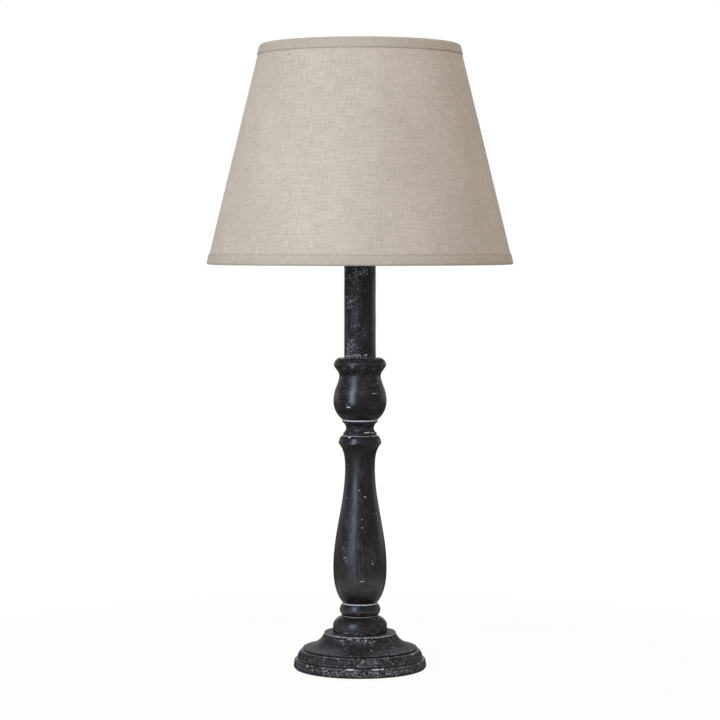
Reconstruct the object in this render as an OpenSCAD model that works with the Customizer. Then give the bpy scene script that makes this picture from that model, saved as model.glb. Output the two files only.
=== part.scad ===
// Column table lamp. A turned wooden stand is clamped on a threaded tube, which also
// carries the lampholder, and a tapered fabric shade hangs from the lampholder's thread.
// Heights are stacked from the table upwards, and each piece starts where the last ends.

/* [Foot] */
// Diameter over the bottom band
foot_d = 130.6; // [110:0.2:170]
// Height of the bottom band
band_h = 9; // [8:0.2:14]
// How far the band leans in towards its top
band_lean = 0.7; // [0:0.1:1.5]
// Rounding of the band's top edge
band_edge = 1.8; // [0.6:0.1:2.4]
// Rounding of the foot's bottom edge
foot_edge = 1.2; // [0.4:0.1:2]
// Ledge between the band and the quarter round
quarter_step = 1.1; // [0.2:0.1:2]
// How far the quarter round curves in
quarter_in = 5.3; // [3:0.1:10]
// Height of the quarter round
quarter_h = 8.9; // [7:0.1:14]
// Depth of the undercut between the quarter round and the lip
undercut = 0.6; // [0.2:0.1:1.5]
// How far the lip stands out over the undercut
lip_out = 0.7; // [0.3:0.1:2]
// Height of the lip
lip_h = 1.8; // [1:0.1:3]
// Rounding of the lip's top edge
lip_edge = 0.9; // [0.3:0.1:1.5]
// Height of the ogee
ogee_h = 15.1; // [10:0.1:30]
// Diameter of the flat seat on top of the foot
seat_d = 69.8; // [62:0.2:80]
// Thickness of the felt pad under the foot
felt_t = 1; // [0.8:0.1:3]
// How far the felt pad stays inside the foot's edge
felt_margin = 1.2; // [0.4:0.1:4]

/* [Base ring] */
// Diameter of the ring on the foot
ring_d = 53.2; // [46:0.2:60]
// Height of the ring's straight side
ring_side_h = 6.4; // [3:0.1:10]
// Height of the ring's rounded shoulder
ring_round_h = 9.4; // [6:0.1:16]
// Diameter of the ring's top
ring_top_d = 35; // [32:0.2:40]
// Rounding of the ring's bottom edge
ring_edge = 0.6; // [0.2:0.1:1.5]

/* [Neck bead] */
// Diameter over the bead
bead_d = 40; // [37:0.2:46]
// Diameter of the grooves above and below the bead
groove_d = 34; // [31:0.2:35]
// Height of the bead
bead_h = 12.8; // [11:0.1:18]

/* [Baluster] */
// Diameter where the baluster stands on the bead
baluster_foot_d = 33.8; // [31:0.2:38]
// Diameter of the belly
belly_d = 52.5; // [44:0.1:62]
// Height from the baluster's foot to the belly
belly_h = 35.4; // [28:0.2:50]
// Diameter of the waist
waist_d = 29.3; // [27:0.1:36]
// Height from the belly to the waist
taper_h = 97.6; // [70:0.2:130]
// Diameter of the sharp rim near the top
rim_d = 42.4; // [38:0.1:48]
// Height from the waist to the rim
flare_h = 24.5; // [16:0.1:34]
// Diameter of the baluster's top
collar_top_d = 34; // [32:0.2:38]
// Height from the rim to the top
collar_h = 7.8; // [5:0.1:14]

/* [Cove] */
// Diameter of the cove's lower fillet
cove_foot_d = 32.8; // [30:0.2:36]
// Height of the lower fillet
cove_foot_h = 2.3; // [1:0.1:4]
// Smallest diameter of the cove
cove_d = 27.3; // [26:0.1:31]
// Height from the lower fillet to the smallest diameter
cove_low_h = 4.6; // [3:0.1:8]
// Height from the smallest diameter to the upper fillet
cove_high_h = 6; // [4:0.1:9]
// Diameter of the upper fillet
fillet_d = 34.8; // [33:0.2:38]
// Height of the upper fillet
fillet_h = 2.6; // [1.4:0.1:4]

/* [Urn] */
// Diameter of the urn's foot
urn_foot_d = 34.6; // [32:0.2:38]
// Diameter of the urn's belly
urn_belly_d = 52.2; // [44:0.1:60]
// Height from the urn's foot to its belly
urn_belly_h = 17.8; // [14:0.1:26]
// Diameter of the shoulder between belly and neck
urn_shoulder_d = 48.5; // [43:0.1:52]
// Height from the belly to the shoulder
urn_shoulder_h = 11.8; // [8:0.1:16]
// Diameter of the neck
urn_neck_d = 40.9; // [35:0.1:43]
// Height from the shoulder to the neck
urn_neck_h = 13.8; // [10:0.1:20]
// Diameter of the lip
urn_lip_d = 51.4; // [46:0.1:58]
// Height from the neck to the widest part of the lip
urn_lip_h = 10; // [8:0.1:14]
// Diameter of the crown on top of the lip
urn_crown_d = 41.2; // [36:0.1:44]
// Height from the widest part of the lip to the crown
urn_crown_h = 7; // [5:0.1:10]

/* [Column] */
// Diameter of the plain column
column_d = 30.9; // [29.5:0.1:36]
// Height of the plain column
column_h = 99.4; // [70:0.2:160]
// Rounding of the column's top edge
column_edge = 0.8; // [0.2:0.1:1.5]

/* [Wood joints] */
// Diameter of the tenons that centre one section on the next
tenon_d = 20; // [17:0.2:21]
// Height of the tenons
tenon_h = 7; // [4:0.2:8]
// Room for glue around each tenon and at its end
glue_gap = 0.1; // [0.05:0.05:0.3]
// Clearance between the tube and the hole through the wood
bore_gap = 0.3; // [0.2:0.05:0.8]

/* [Tube and nuts] */
// Outer diameter of the threaded tube
tube_d = 10; // [8:0.1:12]
// Inner diameter of the threaded tube
tube_bore_d = 7.6; // [6:0.1:7.8]
// How far the tube stands out below the bottom nut
tube_below = 2.6; // [1:0.1:3]
// How far the tube reaches into the lampholder's neck
tube_in_holder = 9; // [6:0.1:10]
// Width across flats of the nuts
nut_af = 14; // [13.6:0.1:17]
// Thickness of the nuts
nut_t = 3.2; // [2:0.1:3.5]
// Clearance between the nuts, the washers and the tube
nut_gap = 0.05; // [0.02:0.01:0.1]
// Diameter of the washer in the foot
foot_washer_d = 30; // [24:0.2:34]
// Diameter of the washer on the column
top_washer_d = 26; // [20:0.2:28]
// Thickness of both washers
washer_t = 1.5; // [1:0.1:2]
// Diameter of the recess in the bottom of the foot
recess_d = 38; // [36:0.2:44]
// Depth of the recess
recess_h = 12; // [11:0.2:14]

/* [Cord bush] */
// Height of the cord hole's axis above the foot's bottom face
cord_h = 7.6; // [7.4:0.1:9]
// Diameter of the hole for the cord in the bush
cord_hole_d = 6.4; // [5:0.1:7]
// Outer diameter of the bush's body
bush_d = 8.8; // [8.4:0.1:9.4]
// Clearance between the bush and its hole
bush_gap = 0.1; // [0.05:0.05:0.2]
// Length of the bush's body in the wood
bush_body_l = 12; // [8:0.2:20]
// Diameter of the bush's flange
bush_flange_d = 11.4; // [10.8:0.1:12.4]
// Thickness of the flange
bush_flange_t = 1.6; // [1:0.1:2]
// Length of the tapered nose in front of the flange
bush_nose_l = 2.2; // [1:0.1:3]
// Depth of the flat seat for the flange, from the widest part of the foot
bush_seat_depth = 4.2; // [3.8:0.1:6]
// Clearance around the flange
bush_seat_gap = 0.3; // [0.1:0.05:0.6]

/* [Lampholder] */
// Diameter of the lampholder's neck
neck_d = 16; // [14:0.2:20]
// Height of the neck
neck_h = 7; // [6:0.1:9]
// Diameter of the lampholder over its thread
holder_d = 39.5; // [38:0.1:40]
// Height of the dome above the neck
dome_h = 9; // [7:0.1:14]
// Height of the dome's straight side
dome_side_h = 3; // [2:0.1:5]
// Diameter of the spigot that enters the skirt
spigot_d = 34.4; // [33:0.1:34.8]
// Height of the spigot
spigot_h = 8; // [6:0.1:9]
// Wall of the dome
dome_wall = 1.8; // [1.4:0.1:2.4]
// Width of the ledge inside the dome that carries the contact block
ledge_w = 1.4; // [1:0.1:2.4]
// Clearance between the skirt and the spigot
skirt_gap = 0.1; // [0.05:0.05:0.3]
// Height of the skirt
skirt_h = 36; // [34:0.2:44]
// Diameter of the skirt's shoulder
shoulder_d = 43.6; // [42:0.2:48]
// Height of the shoulder's top above the skirt's foot
shoulder_h = 7; // [5:0.1:9]
// Thickness of the shoulder
shoulder_t = 2.4; // [1.6:0.1:4]
// Diameter of the opening in the skirt's top
mouth_d = 30.4; // [29.6:0.1:33]
// Thickness of the skirt's top
mouth_t = 2.2; // [1.4:0.1:3]
// Diameter of the lock screw in the neck
lock_screw_d = 3; // [2.5:0.1:3.5]
// How far the lock screw stands out of the neck
lock_screw_out = 0.5; // [0.2:0.1:1]

/* [Contact block] */
// Clearance between the contact block and the dome
block_gap = 0.2; // [0.1:0.05:0.4]
// Height of the contact block
block_h = 9; // [7:0.1:11]
// Inner diameter of the screw shell
shell_d = 27; // [26.8:0.1:27.4]
// Thickness of the screw shell
shell_t = 0.4; // [0.3:0.05:0.6]
// Height of the screw shell
shell_h = 22; // [18:0.2:24]
// Width of the contact springs
contact_w = 6; // [4:0.1:7]
// Thickness of the contact springs
contact_t = 0.5; // [0.4:0.05:0.8]
// How far the centre contact's crown stands above the block
contact_h = 1.8; // [1:0.1:3]
// Length of the centre contact's flat crown
contact_crown_l = 9.6; // [9:0.2:12]
// Distance from the axis to the centre contact's fixed end
contact_reach = 11.5; // [9:0.1:12]
// Diameter of the terminal screws
terminal_d = 3; // [2.5:0.1:3.5]
// Diameter of the terminal screws' heads
terminal_head_d = 5; // [4.2:0.1:5.6]
// Height of the terminal screws' heads
terminal_head_h = 1.8; // [1:0.1:2.4]
// Depth of the terminal screws in the block
terminal_depth = 6; // [4:0.1:7]
// Distance between the terminal screws
terminal_spacing = 18; // [14:0.2:20]
// Width and depth of the screws' slots
slot_w = 0.8; // [0.5:0.1:1]

/* [Shade rings] */
// Outer diameter of both threaded rings
shade_ring_d = 52; // [48:0.2:54]
// Height of the seat ring
seat_ring_h = 5; // [4:0.1:7]
// Height of the clamp ring
clamp_ring_h = 6; // [5:0.1:8]
// Running clearance between the rings and the thread
ring_gap = 0.1; // [0.04:0.01:0.1]
// Number of grip notches in each ring
ring_notches = 24; // [16:1:32]
// Diameter of the grip notches
notch_d = 2.4; // [1.6:0.1:3]

/* [Shade frame] */
// Hole in the frame's centre ring
spider_hole_d = 42; // [41:0.1:44]
// Outer diameter of the centre ring
spider_ring_d = 58; // [55:0.2:66]
// Thickness of the centre ring
spider_ring_t = 1.6; // [1.2:0.1:3]
// Diameter of the frame's wire
wire_d = 3; // [2:0.1:4]
// Number of arms
arm_count = 3; // [3:1:4]
// How far the centre ring stands above the shade's bottom edge
spider_rise = 43.7; // [36:0.1:60]

/* [Shade] */
// Diameter over the bottom binding
shade_bottom_d = 300; // [260:1:340]
// Diameter over the top binding
shade_top_d = 195.2; // [150:0.2:240]
// Height of the shade
shade_h = 213.8; // [180:0.2:260]
// Thickness of the fabric cover
cover_t = 0.7; // [0.4:0.1:1.5]
// Thickness of the stiff lining
lining_t = 0.6; // [0.4:0.1:1.5]
// Height of the bindings
binding_h = 10.4; // [7:0.2:16]
// Thickness of the bindings
binding_t = 0.6; // [0.4:0.1:1.2]
// Clearance between the wire rings and the lining
wire_gap = 0.1; // [0.05:0.05:0.3]
// Clearance between the wire rings and the bindings round them
binding_gap = 0.12; // [0.05:0.01:0.2]

/* [Bulb] */
// Diameter of the bulb's screw cap
cap_d = 26.4; // [26:0.1:26.5]
// Height of the screw cap
cap_h = 22; // [20:0.2:26]
// Thickness of the screw cap's sheet
cap_t = 0.4; // [0.3:0.05:0.6]
// Height of the black insulator under the cap
insulator_h = 3; // [2:0.1:4]
// Diameter of the contact eyelet
eyelet_d = 9; // [7:0.1:10]
// Height of the contact eyelet
eyelet_h = 1.2; // [0.8:0.1:2]
// Diameter of the glass at its neck
glass_neck_d = 28.4; // [27.4:0.1:29.4]
// Diameter of the glass at its widest
glass_d = 60; // [45:0.5:60]
// Height from the cap to the widest part of the glass
glass_rise_h = 49; // [40:0.5:60]
// Height from the widest part to the top of the glass
glass_top_h = 32; // [24:0.5:34]
// Wall of the glass
glass_t = 0.8; // [0.6:0.1:1.2]

/* [Hidden] */

$fn = 96;
// Longest straight piece of a turned outline
outline_step = 2.4;
// How far a cutting body reaches past the face that it cuts
past = 1;

// Heights of the wooden sections, from the table up
foot_z = felt_t;
foot_h = band_h + quarter_h + lip_h + ogee_h;
ring_z = foot_z + foot_h;
ring_h = ring_side_h + ring_round_h;
bead_z = ring_z + ring_h;
baluster_z = bead_z + bead_h;
baluster_h = belly_h + taper_h + flare_h + collar_h;
cove_z = baluster_z + baluster_h;
cove_h = cove_foot_h + cove_low_h + cove_high_h + fillet_h;
urn_z = cove_z + cove_h;
urn_h = urn_belly_h + urn_shoulder_h + urn_neck_h + urn_lip_h + urn_crown_h;
column_z = urn_z + urn_h;
column_top_z = column_z + column_h;

// Tube, nuts and washers
tube_r = tube_d / 2;
bore_r = tube_r + bore_gap;
recess_top_z = foot_z + recess_h;
foot_washer_z = recess_top_z - washer_t;
foot_nut_z = foot_washer_z - nut_t;
tube_z = foot_nut_z - tube_below;
top_nut_z = column_top_z + washer_t;
holder_z = top_nut_z + nut_t;
tube_top_z = holder_z + tube_in_holder;

// Cord bush, in the back of the foot
cord_z = foot_z + cord_h;
bush_hole_r = bush_d / 2 + bush_gap;
bush_seat_y = foot_d / 2 - bush_seat_depth;

// Lampholder
holder_r = holder_d / 2;
skirt_z = holder_z + neck_h + dome_h + dome_side_h;
skirt_in_r = spigot_d / 2 + skirt_gap;
spigot_in_r = spigot_d / 2 - dome_wall;
dome_floor_z = holder_z + neck_h + dome_wall;
spigot_top_z = skirt_z + spigot_h;
block_top_z = spigot_top_z;
block_z = block_top_z - block_h;
contact_top_z = block_top_z + contact_h;
shoulder_z = skirt_z + shoulder_h;
skirt_top_z = skirt_z + skirt_h;

// Rings on the lampholder's thread
thread_bore_r = holder_r + ring_gap;
seat_ring_z = shoulder_z;
spider_z = seat_ring_z + seat_ring_h;
clamp_ring_z = spider_z + spider_ring_t;

// Shade: a straight cone, measured on the outside of its cover
shade_z = spider_z - spider_rise;
shade_top_z = shade_z + shade_h;
wire_r = wire_d / 2;
wall_t = cover_t + lining_t;
cover_bottom_r = shade_bottom_d / 2 - binding_t;
cover_top_r = shade_top_d / 2 - binding_t;
function cover_r(z) = cover_bottom_r + (cover_top_r - cover_bottom_r) * (z - shade_z) / shade_h;
wall_bottom_z = shade_z + binding_t;
wall_top_z = shade_top_z - binding_t;
bottom_wire_z = wall_bottom_z + wire_r + wire_gap;
top_wire_z = wall_top_z - wire_r - wire_gap;
function wire_ring_r(z) = cover_r(z + wire_r) - wall_t - wire_gap - wire_r;
bottom_wire_r = wire_ring_r(bottom_wire_z);
top_wire_r = wire_ring_r(top_wire_z);

// Arms, from the rim of the centre ring to the bottom wire
arm_in_r = spider_ring_d / 2;
arm_in_z = spider_z + spider_ring_t / 2;
arm_run = bottom_wire_r - arm_in_r;
arm_drop = arm_in_z - bottom_wire_z;
arm_l = norm([arm_run, arm_drop]);
arm_slope = atan2(arm_drop, arm_run);
// The first arm points to the back
first_arm = 90;

// Bulb, screwed home on the centre contact
eyelet_z = contact_top_z;
insulator_z = eyelet_z + eyelet_h;
cap_z = insulator_z + insulator_h;
glass_z = cap_z + cap_h;
cap_r = cap_d / 2;
cap_taper = 1.5;
glass_plug_r = cap_r - cap_t - wire_gap;
glass_plug_h = 4;

// Colours
wood = "#38373b";
steel = "#a8a9ab";
brass = "#b59a5b";
black_plastic = "#1d1d1f";
porcelain = "#e8e6df";
linen = "#c6bdaf";
binding_linen = "#b9b0a2";
white_styrene = "#efece4";
white_metal = "#e4e2dc";
felt = "#26282a";

// Curve from one station to the next, without its first point. A station is a radius, a height,
// the heading on arrival and the heading on leaving: 0 points outwards, 90 up and 180 inwards.
function bow(a, b) =
    let (
        p = [a[0], a[1]],
        q = [b[0], b[1]],
        reach = norm(q - p),
        u = reach * [cos(a[3]), sin(a[3])],
        v = reach * [cos(b[2]), sin(b[2])],
        straight = abs(cross(q - p, u)) + abs(cross(q - p, v)) < 0.01 * reach * reach,
        n = straight ? 1 : ceil(reach / outline_step) + 3
    )
    [for (i = [1:n]) let (t = i / n)
        (2 * t ^ 3 - 3 * t ^ 2 + 1) * p + (t ^ 3 - 2 * t ^ 2 + t) * u
        + (3 * t ^ 2 - 2 * t ^ 3) * q + (t ^ 3 - t ^ 2) * v];

// Outline through all stations
function turned(stations) = concat(
    [[stations[0][0], stations[0][1]]],
    [for (i = [0:len(stations) - 2]) each bow(stations[i], stations[i + 1])]
);

// One turned wooden section on its hole for the tube, with a tenon below and a socket above
module section(z, h, stations, tenon = true, socket = true) {
    translate([0, 0, z]) difference() {
        union() {
            rotate_extrude() polygon(concat([[0, 0]], turned(stations), [[0, h]]));
            if (tenon) translate([0, 0, -tenon_h]) cylinder(d = tenon_d, h = tenon_h + past);
        }
        translate([0, 0, -tenon_h - past]) cylinder(r = bore_r, h = h + tenon_h + 2 * past);
        if (socket) translate([0, 0, h - tenon_h - glue_gap])
            cylinder(d = tenon_d + 2 * glue_gap, h = tenon_h + glue_gap + past);
    }
}

// Places its children along the cord hole, which runs out through the back of the foot
module at_cord_hole(y) {
    translate([0, y, cord_z]) rotate([-90, 0, 0]) children();
}

module foot() {
    r = foot_d / 2;
    band_top_r = r - band_lean - band_edge;
    quarter_r = band_top_r - quarter_step;
    quarter_top_r = quarter_r - quarter_in;
    undercut_r = quarter_top_r - undercut;
    lip_r = undercut_r + lip_out;
    quarter_top = band_h + quarter_h;
    lip_top = quarter_top + lip_h;
    stations = [
        [r - foot_edge, 0, 0, 0],
        [r, foot_edge, 90, 90],
        [r - band_lean, band_h - band_edge, 96, 96],
        [band_top_r, band_h, 165, 180],
        [quarter_r, band_h, 180, 88],
        [quarter_top_r, quarter_top, 162, 180],
        [undercut_r, quarter_top, 180, 45],
        [lip_r, quarter_top + lip_h / 2, 90, 90],
        [lip_r - lip_edge, lip_top, 172, 172],
        [seat_d / 2, foot_h, 104, 180]
    ];
    color(wood) difference() {
        section(foot_z, foot_h, stations, tenon = false);
        translate([0, 0, foot_z - past]) cylinder(d = recess_d, h = recess_h + past);
        at_cord_hole(0) cylinder(r = bush_hole_r, h = foot_d);
        at_cord_hole(bush_seat_y) cylinder(d = bush_flange_d + 2 * bush_seat_gap, h = foot_d);
    }
}

module felt_pad() {
    color(felt) cylinder(r = foot_d / 2 - felt_margin, h = felt_t);
}

module cord_bush() {
    color(black_plastic) at_cord_hole(bush_seat_y) difference() {
        union() {
            translate([0, 0, -bush_body_l]) cylinder(d = bush_d, h = bush_body_l);
            cylinder(d = bush_flange_d, h = bush_flange_t);
            translate([0, 0, bush_flange_t])
                cylinder(d1 = bush_d, d2 = (bush_d + cord_hole_d) / 2, h = bush_nose_l);
        }
        translate([0, 0, -bush_body_l - past])
            cylinder(d = cord_hole_d, h = bush_body_l + bush_flange_t + bush_nose_l + 2 * past);
    }
}

module base_ring() {
    r = ring_d / 2;
    color(wood) section(ring_z, ring_h, [
        [r - ring_edge, 0, 0, 0],
        [r, ring_edge, 90, 90],
        [r, ring_side_h, 90, 90],
        [ring_top_d / 2, ring_h, 170, 180]
    ]);
}

module neck_bead() {
    color(wood) section(bead_z, bead_h, [
        [groove_d / 2, 0, 90, 45],
        [bead_d / 2, bead_h / 2, 90, 90],
        [groove_d / 2, bead_h, 135, 180]
    ]);
}

module baluster() {
    waist_z = belly_h + taper_h;
    rim_z = waist_z + flare_h;
    color(wood) section(baluster_z, baluster_h, [
        [baluster_foot_d / 2, 0, 90, 50],
        [belly_d / 2, belly_h, 90, 90],
        [waist_d / 2, waist_z, 90, 90],
        [rim_d / 2, rim_z, 46, 100],
        [collar_top_d / 2, baluster_h, 162, 180]
    ]);
}

module cove() {
    low_z = cove_foot_h + cove_low_h;
    high_z = low_z + cove_high_h;
    color(wood) section(cove_z, cove_h, [
        [cove_foot_d / 2, 0, 90, 90],
        [cove_foot_d / 2, cove_foot_h, 90, 150],
        [cove_d / 2, low_z, 90, 90],
        [fillet_d / 2, high_z, 20, 90],
        [fillet_d / 2, cove_h, 90, 180]
    ]);
}

module urn() {
    shoulder = urn_belly_h + urn_shoulder_h;
    neck = shoulder + urn_neck_h;
    lip = neck + urn_lip_h;
    lip_foot_r = urn_neck_d / 2 + 0.08 * (urn_lip_d - urn_neck_d);
    lip_side_r = urn_lip_d / 2 - 0.04 * (urn_lip_d - urn_neck_d);
    color(wood) section(urn_z, urn_h, [
        [urn_foot_d / 2, 0, 90, 35],
        [urn_belly_d / 2, urn_belly_h, 90, 90],
        [urn_shoulder_d / 2, shoulder, 109, 109],
        [urn_neck_d / 2, neck, 90, 85],
        [lip_foot_r, neck + 0.3 * urn_lip_h, 78, 55],
        [lip_side_r, neck + 0.88 * urn_lip_h, 62, 75],
        [urn_lip_d / 2, lip, 90, 90],
        [urn_crown_d / 2, urn_h, 165, 180]
    ]);
}

module column() {
    r = column_d / 2;
    color(wood) section(column_z, column_h, [
        [r, 0, 90, 90],
        [r, column_h - column_edge, 90, 90],
        [r - column_edge, column_h, 180, 180]
    ], socket = false);
}

module threaded_tube() {
    color(steel) translate([0, 0, tube_z]) difference() {
        cylinder(d = tube_d, h = tube_top_z - tube_z);
        translate([0, 0, -past]) cylinder(d = tube_bore_d, h = tube_top_z - tube_z + 2 * past);
    }
}

module washer(z, d) {
    color(steel) translate([0, 0, z]) difference() {
        cylinder(d = d, h = washer_t);
        translate([0, 0, -past]) cylinder(r = bore_r, h = washer_t + 2 * past);
    }
}

module nut(z) {
    color(steel) translate([0, 0, z]) difference() {
        cylinder(d = nut_af / cos(30), h = nut_t, $fn = 6);
        translate([0, 0, -past]) cylinder(r = tube_r + nut_gap, h = nut_t + 2 * past);
    }
}

module foot_washer() {
    washer(foot_washer_z, foot_washer_d);
}

module foot_nut() {
    nut(foot_nut_z);
}

module top_washer() {
    washer(column_top_z, top_washer_d);
}

module top_nut() {
    nut(top_nut_z);
}

// Places its children along the lock screw, which presses on the tube from the back
module at_lock_screw() {
    translate([0, tube_r, holder_z + neck_h / 2]) rotate([-90, 0, 0]) children();
}

module holder_dome() {
    dome_top = neck_h + dome_h;
    side_top = dome_top + dome_side_h;
    spigot_top = side_top + spigot_h;
    ledge = block_z - holder_z;
    color(black_plastic) difference() {
        translate([0, 0, holder_z]) rotate_extrude() polygon(concat([[0, 0]], turned([
            [neck_d / 2, 0, 90, 90],
            [neck_d / 2, neck_h, 90, 20],
            [holder_r, dome_top, 90, 90],
            [holder_r, side_top, 90, 180],
            [spigot_d / 2, side_top, 180, 90],
            [spigot_d / 2, spigot_top, 90, 180]
        ]), [[0, spigot_top]]));
        translate([0, 0, holder_z]) rotate_extrude() polygon(concat([[0, neck_h + dome_wall]], turned([
            [neck_d / 2 - dome_wall, neck_h + dome_wall, 0, 20],
            [spigot_in_r - ledge_w, ledge, 90, 0],
            [spigot_in_r, ledge, 0, 90],
            [spigot_in_r, spigot_top + past, 90, 90]
        ]), [[0, spigot_top + past]]));
        translate([0, 0, holder_z - past])
            cylinder(r = tube_r + nut_gap, h = neck_h + dome_wall + 2 * past);
        at_lock_screw() cylinder(d = lock_screw_d + 2 * nut_gap, h = neck_d);
    }
}

module lock_screw() {
    l = neck_d / 2 - tube_r + lock_screw_out;
    color(steel) at_lock_screw() difference() {
        cylinder(d = lock_screw_d, h = l);
        translate([-lock_screw_d, -slot_w / 2, l - slot_w]) cube([2 * lock_screw_d, slot_w, slot_w + past]);
    }
}

// Places its children at both terminal screws, head down under the contact block
module at_terminals() {
    for (side = [-1, 1]) translate([side * terminal_spacing / 2, 0, block_z]) children();
}

module contact_block() {
    color(porcelain) difference() {
        translate([0, 0, block_z]) cylinder(r = spigot_in_r - block_gap, h = block_h);
        at_terminals() translate([0, 0, -past])
            cylinder(d = terminal_d + 2 * nut_gap, h = terminal_depth + past + nut_gap);
    }
}

module terminal_screws() {
    color(brass) at_terminals() difference() {
        union() {
            cylinder(d = terminal_d, h = terminal_depth);
            translate([0, 0, -terminal_head_h]) cylinder(d = terminal_head_d, h = terminal_head_h);
        }
        translate([-terminal_head_d, -slot_w / 2, -terminal_head_h - past])
            cube([2 * terminal_head_d, slot_w, slot_w + past]);
    }
}

module screw_shell() {
    color(brass) translate([0, 0, block_top_z]) difference() {
        cylinder(d = shell_d + 2 * shell_t, h = shell_h);
        translate([0, 0, -past]) cylinder(d = shell_d, h = shell_h + 2 * past);
    }
}

// A bent spring: fixed end, ramp, flat crown under the bulb and a turned down tip
module centre_contact() {
    crown = contact_crown_l / 2;
    ramp = contact_h;
    color(brass) translate([-contact_w / 2, 0, block_top_z]) rotate([90, 0, 90]) linear_extrude(contact_w)
        polygon([
            [-contact_reach, 0],
            [-crown - ramp, 0],
            [-crown, contact_h - contact_t],
            [crown, contact_h - contact_t],
            [crown + ramp, contact_t],
            [crown + ramp + contact_t, 2 * contact_t],
            [crown, contact_h],
            [-crown, contact_h],
            [-crown - ramp, contact_t],
            [-contact_reach, contact_t]
        ]);
}

module holder_skirt() {
    edge = mouth_t / 2;
    color(black_plastic) translate([0, 0, skirt_z]) rotate_extrude() polygon([
        [skirt_in_r, 0],
        [holder_r, 0],
        [holder_r, shoulder_h - shoulder_t],
        [shoulder_d / 2, shoulder_h - shoulder_t],
        [shoulder_d / 2, shoulder_h],
        [holder_r, shoulder_h],
        [holder_r, skirt_h - edge],
        [holder_r - edge, skirt_h],
        [mouth_d / 2, skirt_h],
        [mouth_d / 2, skirt_h - mouth_t],
        [skirt_in_r, skirt_h - mouth_t]
    ]);
}

// A ring that runs on the lampholder's thread, with notches for the fingers
module threaded_ring(z, h) {
    color(black_plastic) translate([0, 0, z]) difference() {
        cylinder(d = shade_ring_d, h = h);
        translate([0, 0, -past]) cylinder(r = thread_bore_r, h = h + 2 * past);
        for (i = [0:ring_notches - 1]) rotate([0, 0, i * 360 / ring_notches])
            translate([shade_ring_d / 2, 0, -past]) cylinder(d = notch_d, h = h + 2 * past, $fn = 24);
    }
}

module seat_ring() {
    threaded_ring(seat_ring_z, seat_ring_h);
}

module clamp_ring() {
    threaded_ring(clamp_ring_z, clamp_ring_h);
}

module spider_ring() {
    color(white_metal) translate([0, 0, spider_z]) difference() {
        cylinder(d = spider_ring_d, h = spider_ring_t);
        translate([0, 0, -past]) cylinder(d = spider_hole_d, h = spider_ring_t + 2 * past);
    }
}

// The straight bars of the arms, thicker by grow all round
module arm_bars(grow) {
    for (i = [0:arm_count - 1]) rotate([0, 0, first_arm + i * 360 / arm_count])
        translate([arm_in_r, 0, arm_in_z]) rotate([0, 90 + arm_slope, 0])
            translate([0, 0, -wire_d]) cylinder(r = wire_r + grow, h = arm_l + wire_d);
}

module wire_ring(r, z) {
    translate([0, 0, z]) rotate_extrude() translate([r, 0]) circle(r = wire_r);
}

// Each arm is cut to the rim of the centre ring and to the bottom wire, where it is welded
module spider_arms() {
    color(white_metal) difference() {
        arm_bars(0);
        translate([0, 0, spider_z - 2 * wire_d]) cylinder(r = arm_in_r, h = 4 * wire_d);
        wire_ring(bottom_wire_r, bottom_wire_z);
    }
}

module bottom_wire() {
    color(white_metal) wire_ring(bottom_wire_r, bottom_wire_z);
}

module top_wire() {
    color(white_metal) wire_ring(top_wire_r, top_wire_z);
}

// Section of a layer of the shade's wall, between two depths below the cover's outside
module wall_section(low, high, outer, inner) {
    polygon([
        [cover_r(low) - outer, low],
        [cover_r(high) - outer, high],
        [cover_r(high) - inner, high],
        [cover_r(low) - inner, low]
    ]);
}

module shade_lining() {
    color(white_styrene) rotate_extrude() wall_section(wall_bottom_z, wall_top_z, cover_t, wall_t);
}

module shade_cover() {
    color(linen) rotate_extrude() wall_section(wall_bottom_z, wall_top_z, 0, cover_t);
}

// A strip of fabric folded round the wall's edge and round the wire inside it
module binding(low, high, ring_r, ring_z) {
    rotate_extrude() difference() {
        union() {
            wall_section(low, high, -binding_t, wall_t + binding_t);
            translate([ring_r, ring_z]) circle(r = wire_r + binding_t);
            translate([ring_r, ring_z - wire_r - binding_t]) square([wire_r + wall_t, wire_d + 2 * binding_t]);
        }
        wall_section(wall_bottom_z, wall_top_z, 0, wall_t);
        translate([ring_r, ring_z]) circle(r = wire_r + binding_gap);
        translate([ring_r, ring_z - wire_r - binding_gap]) square([wire_r + wall_t, wire_d + 2 * binding_gap]);
    }
}

module bottom_binding() {
    color(binding_linen) difference() {
        binding(shade_z, shade_z + binding_h, bottom_wire_r, bottom_wire_z);
        arm_bars(wire_gap);
    }
}

module top_binding() {
    color(binding_linen) binding(shade_top_z - binding_h, shade_top_z, top_wire_r, top_wire_z);
}

module bulb_contact() {
    color(brass) translate([0, 0, eyelet_z]) cylinder(d = eyelet_d, h = eyelet_h);
}

module cap_insulator() {
    color(black_plastic) translate([0, 0, insulator_z])
        cylinder(r1 = eyelet_d / 2 + cap_taper, r2 = cap_r - cap_taper, h = insulator_h);
}

module bulb_cap() {
    color(steel) translate([0, 0, cap_z]) rotate_extrude() polygon([
        [cap_r - cap_taper - cap_t, 0],
        [cap_r - cap_taper, 0],
        [cap_r, cap_taper],
        [cap_r, cap_h],
        [cap_r - cap_t, cap_h],
        [cap_r - cap_t, cap_taper]
    ]);
}

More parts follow.
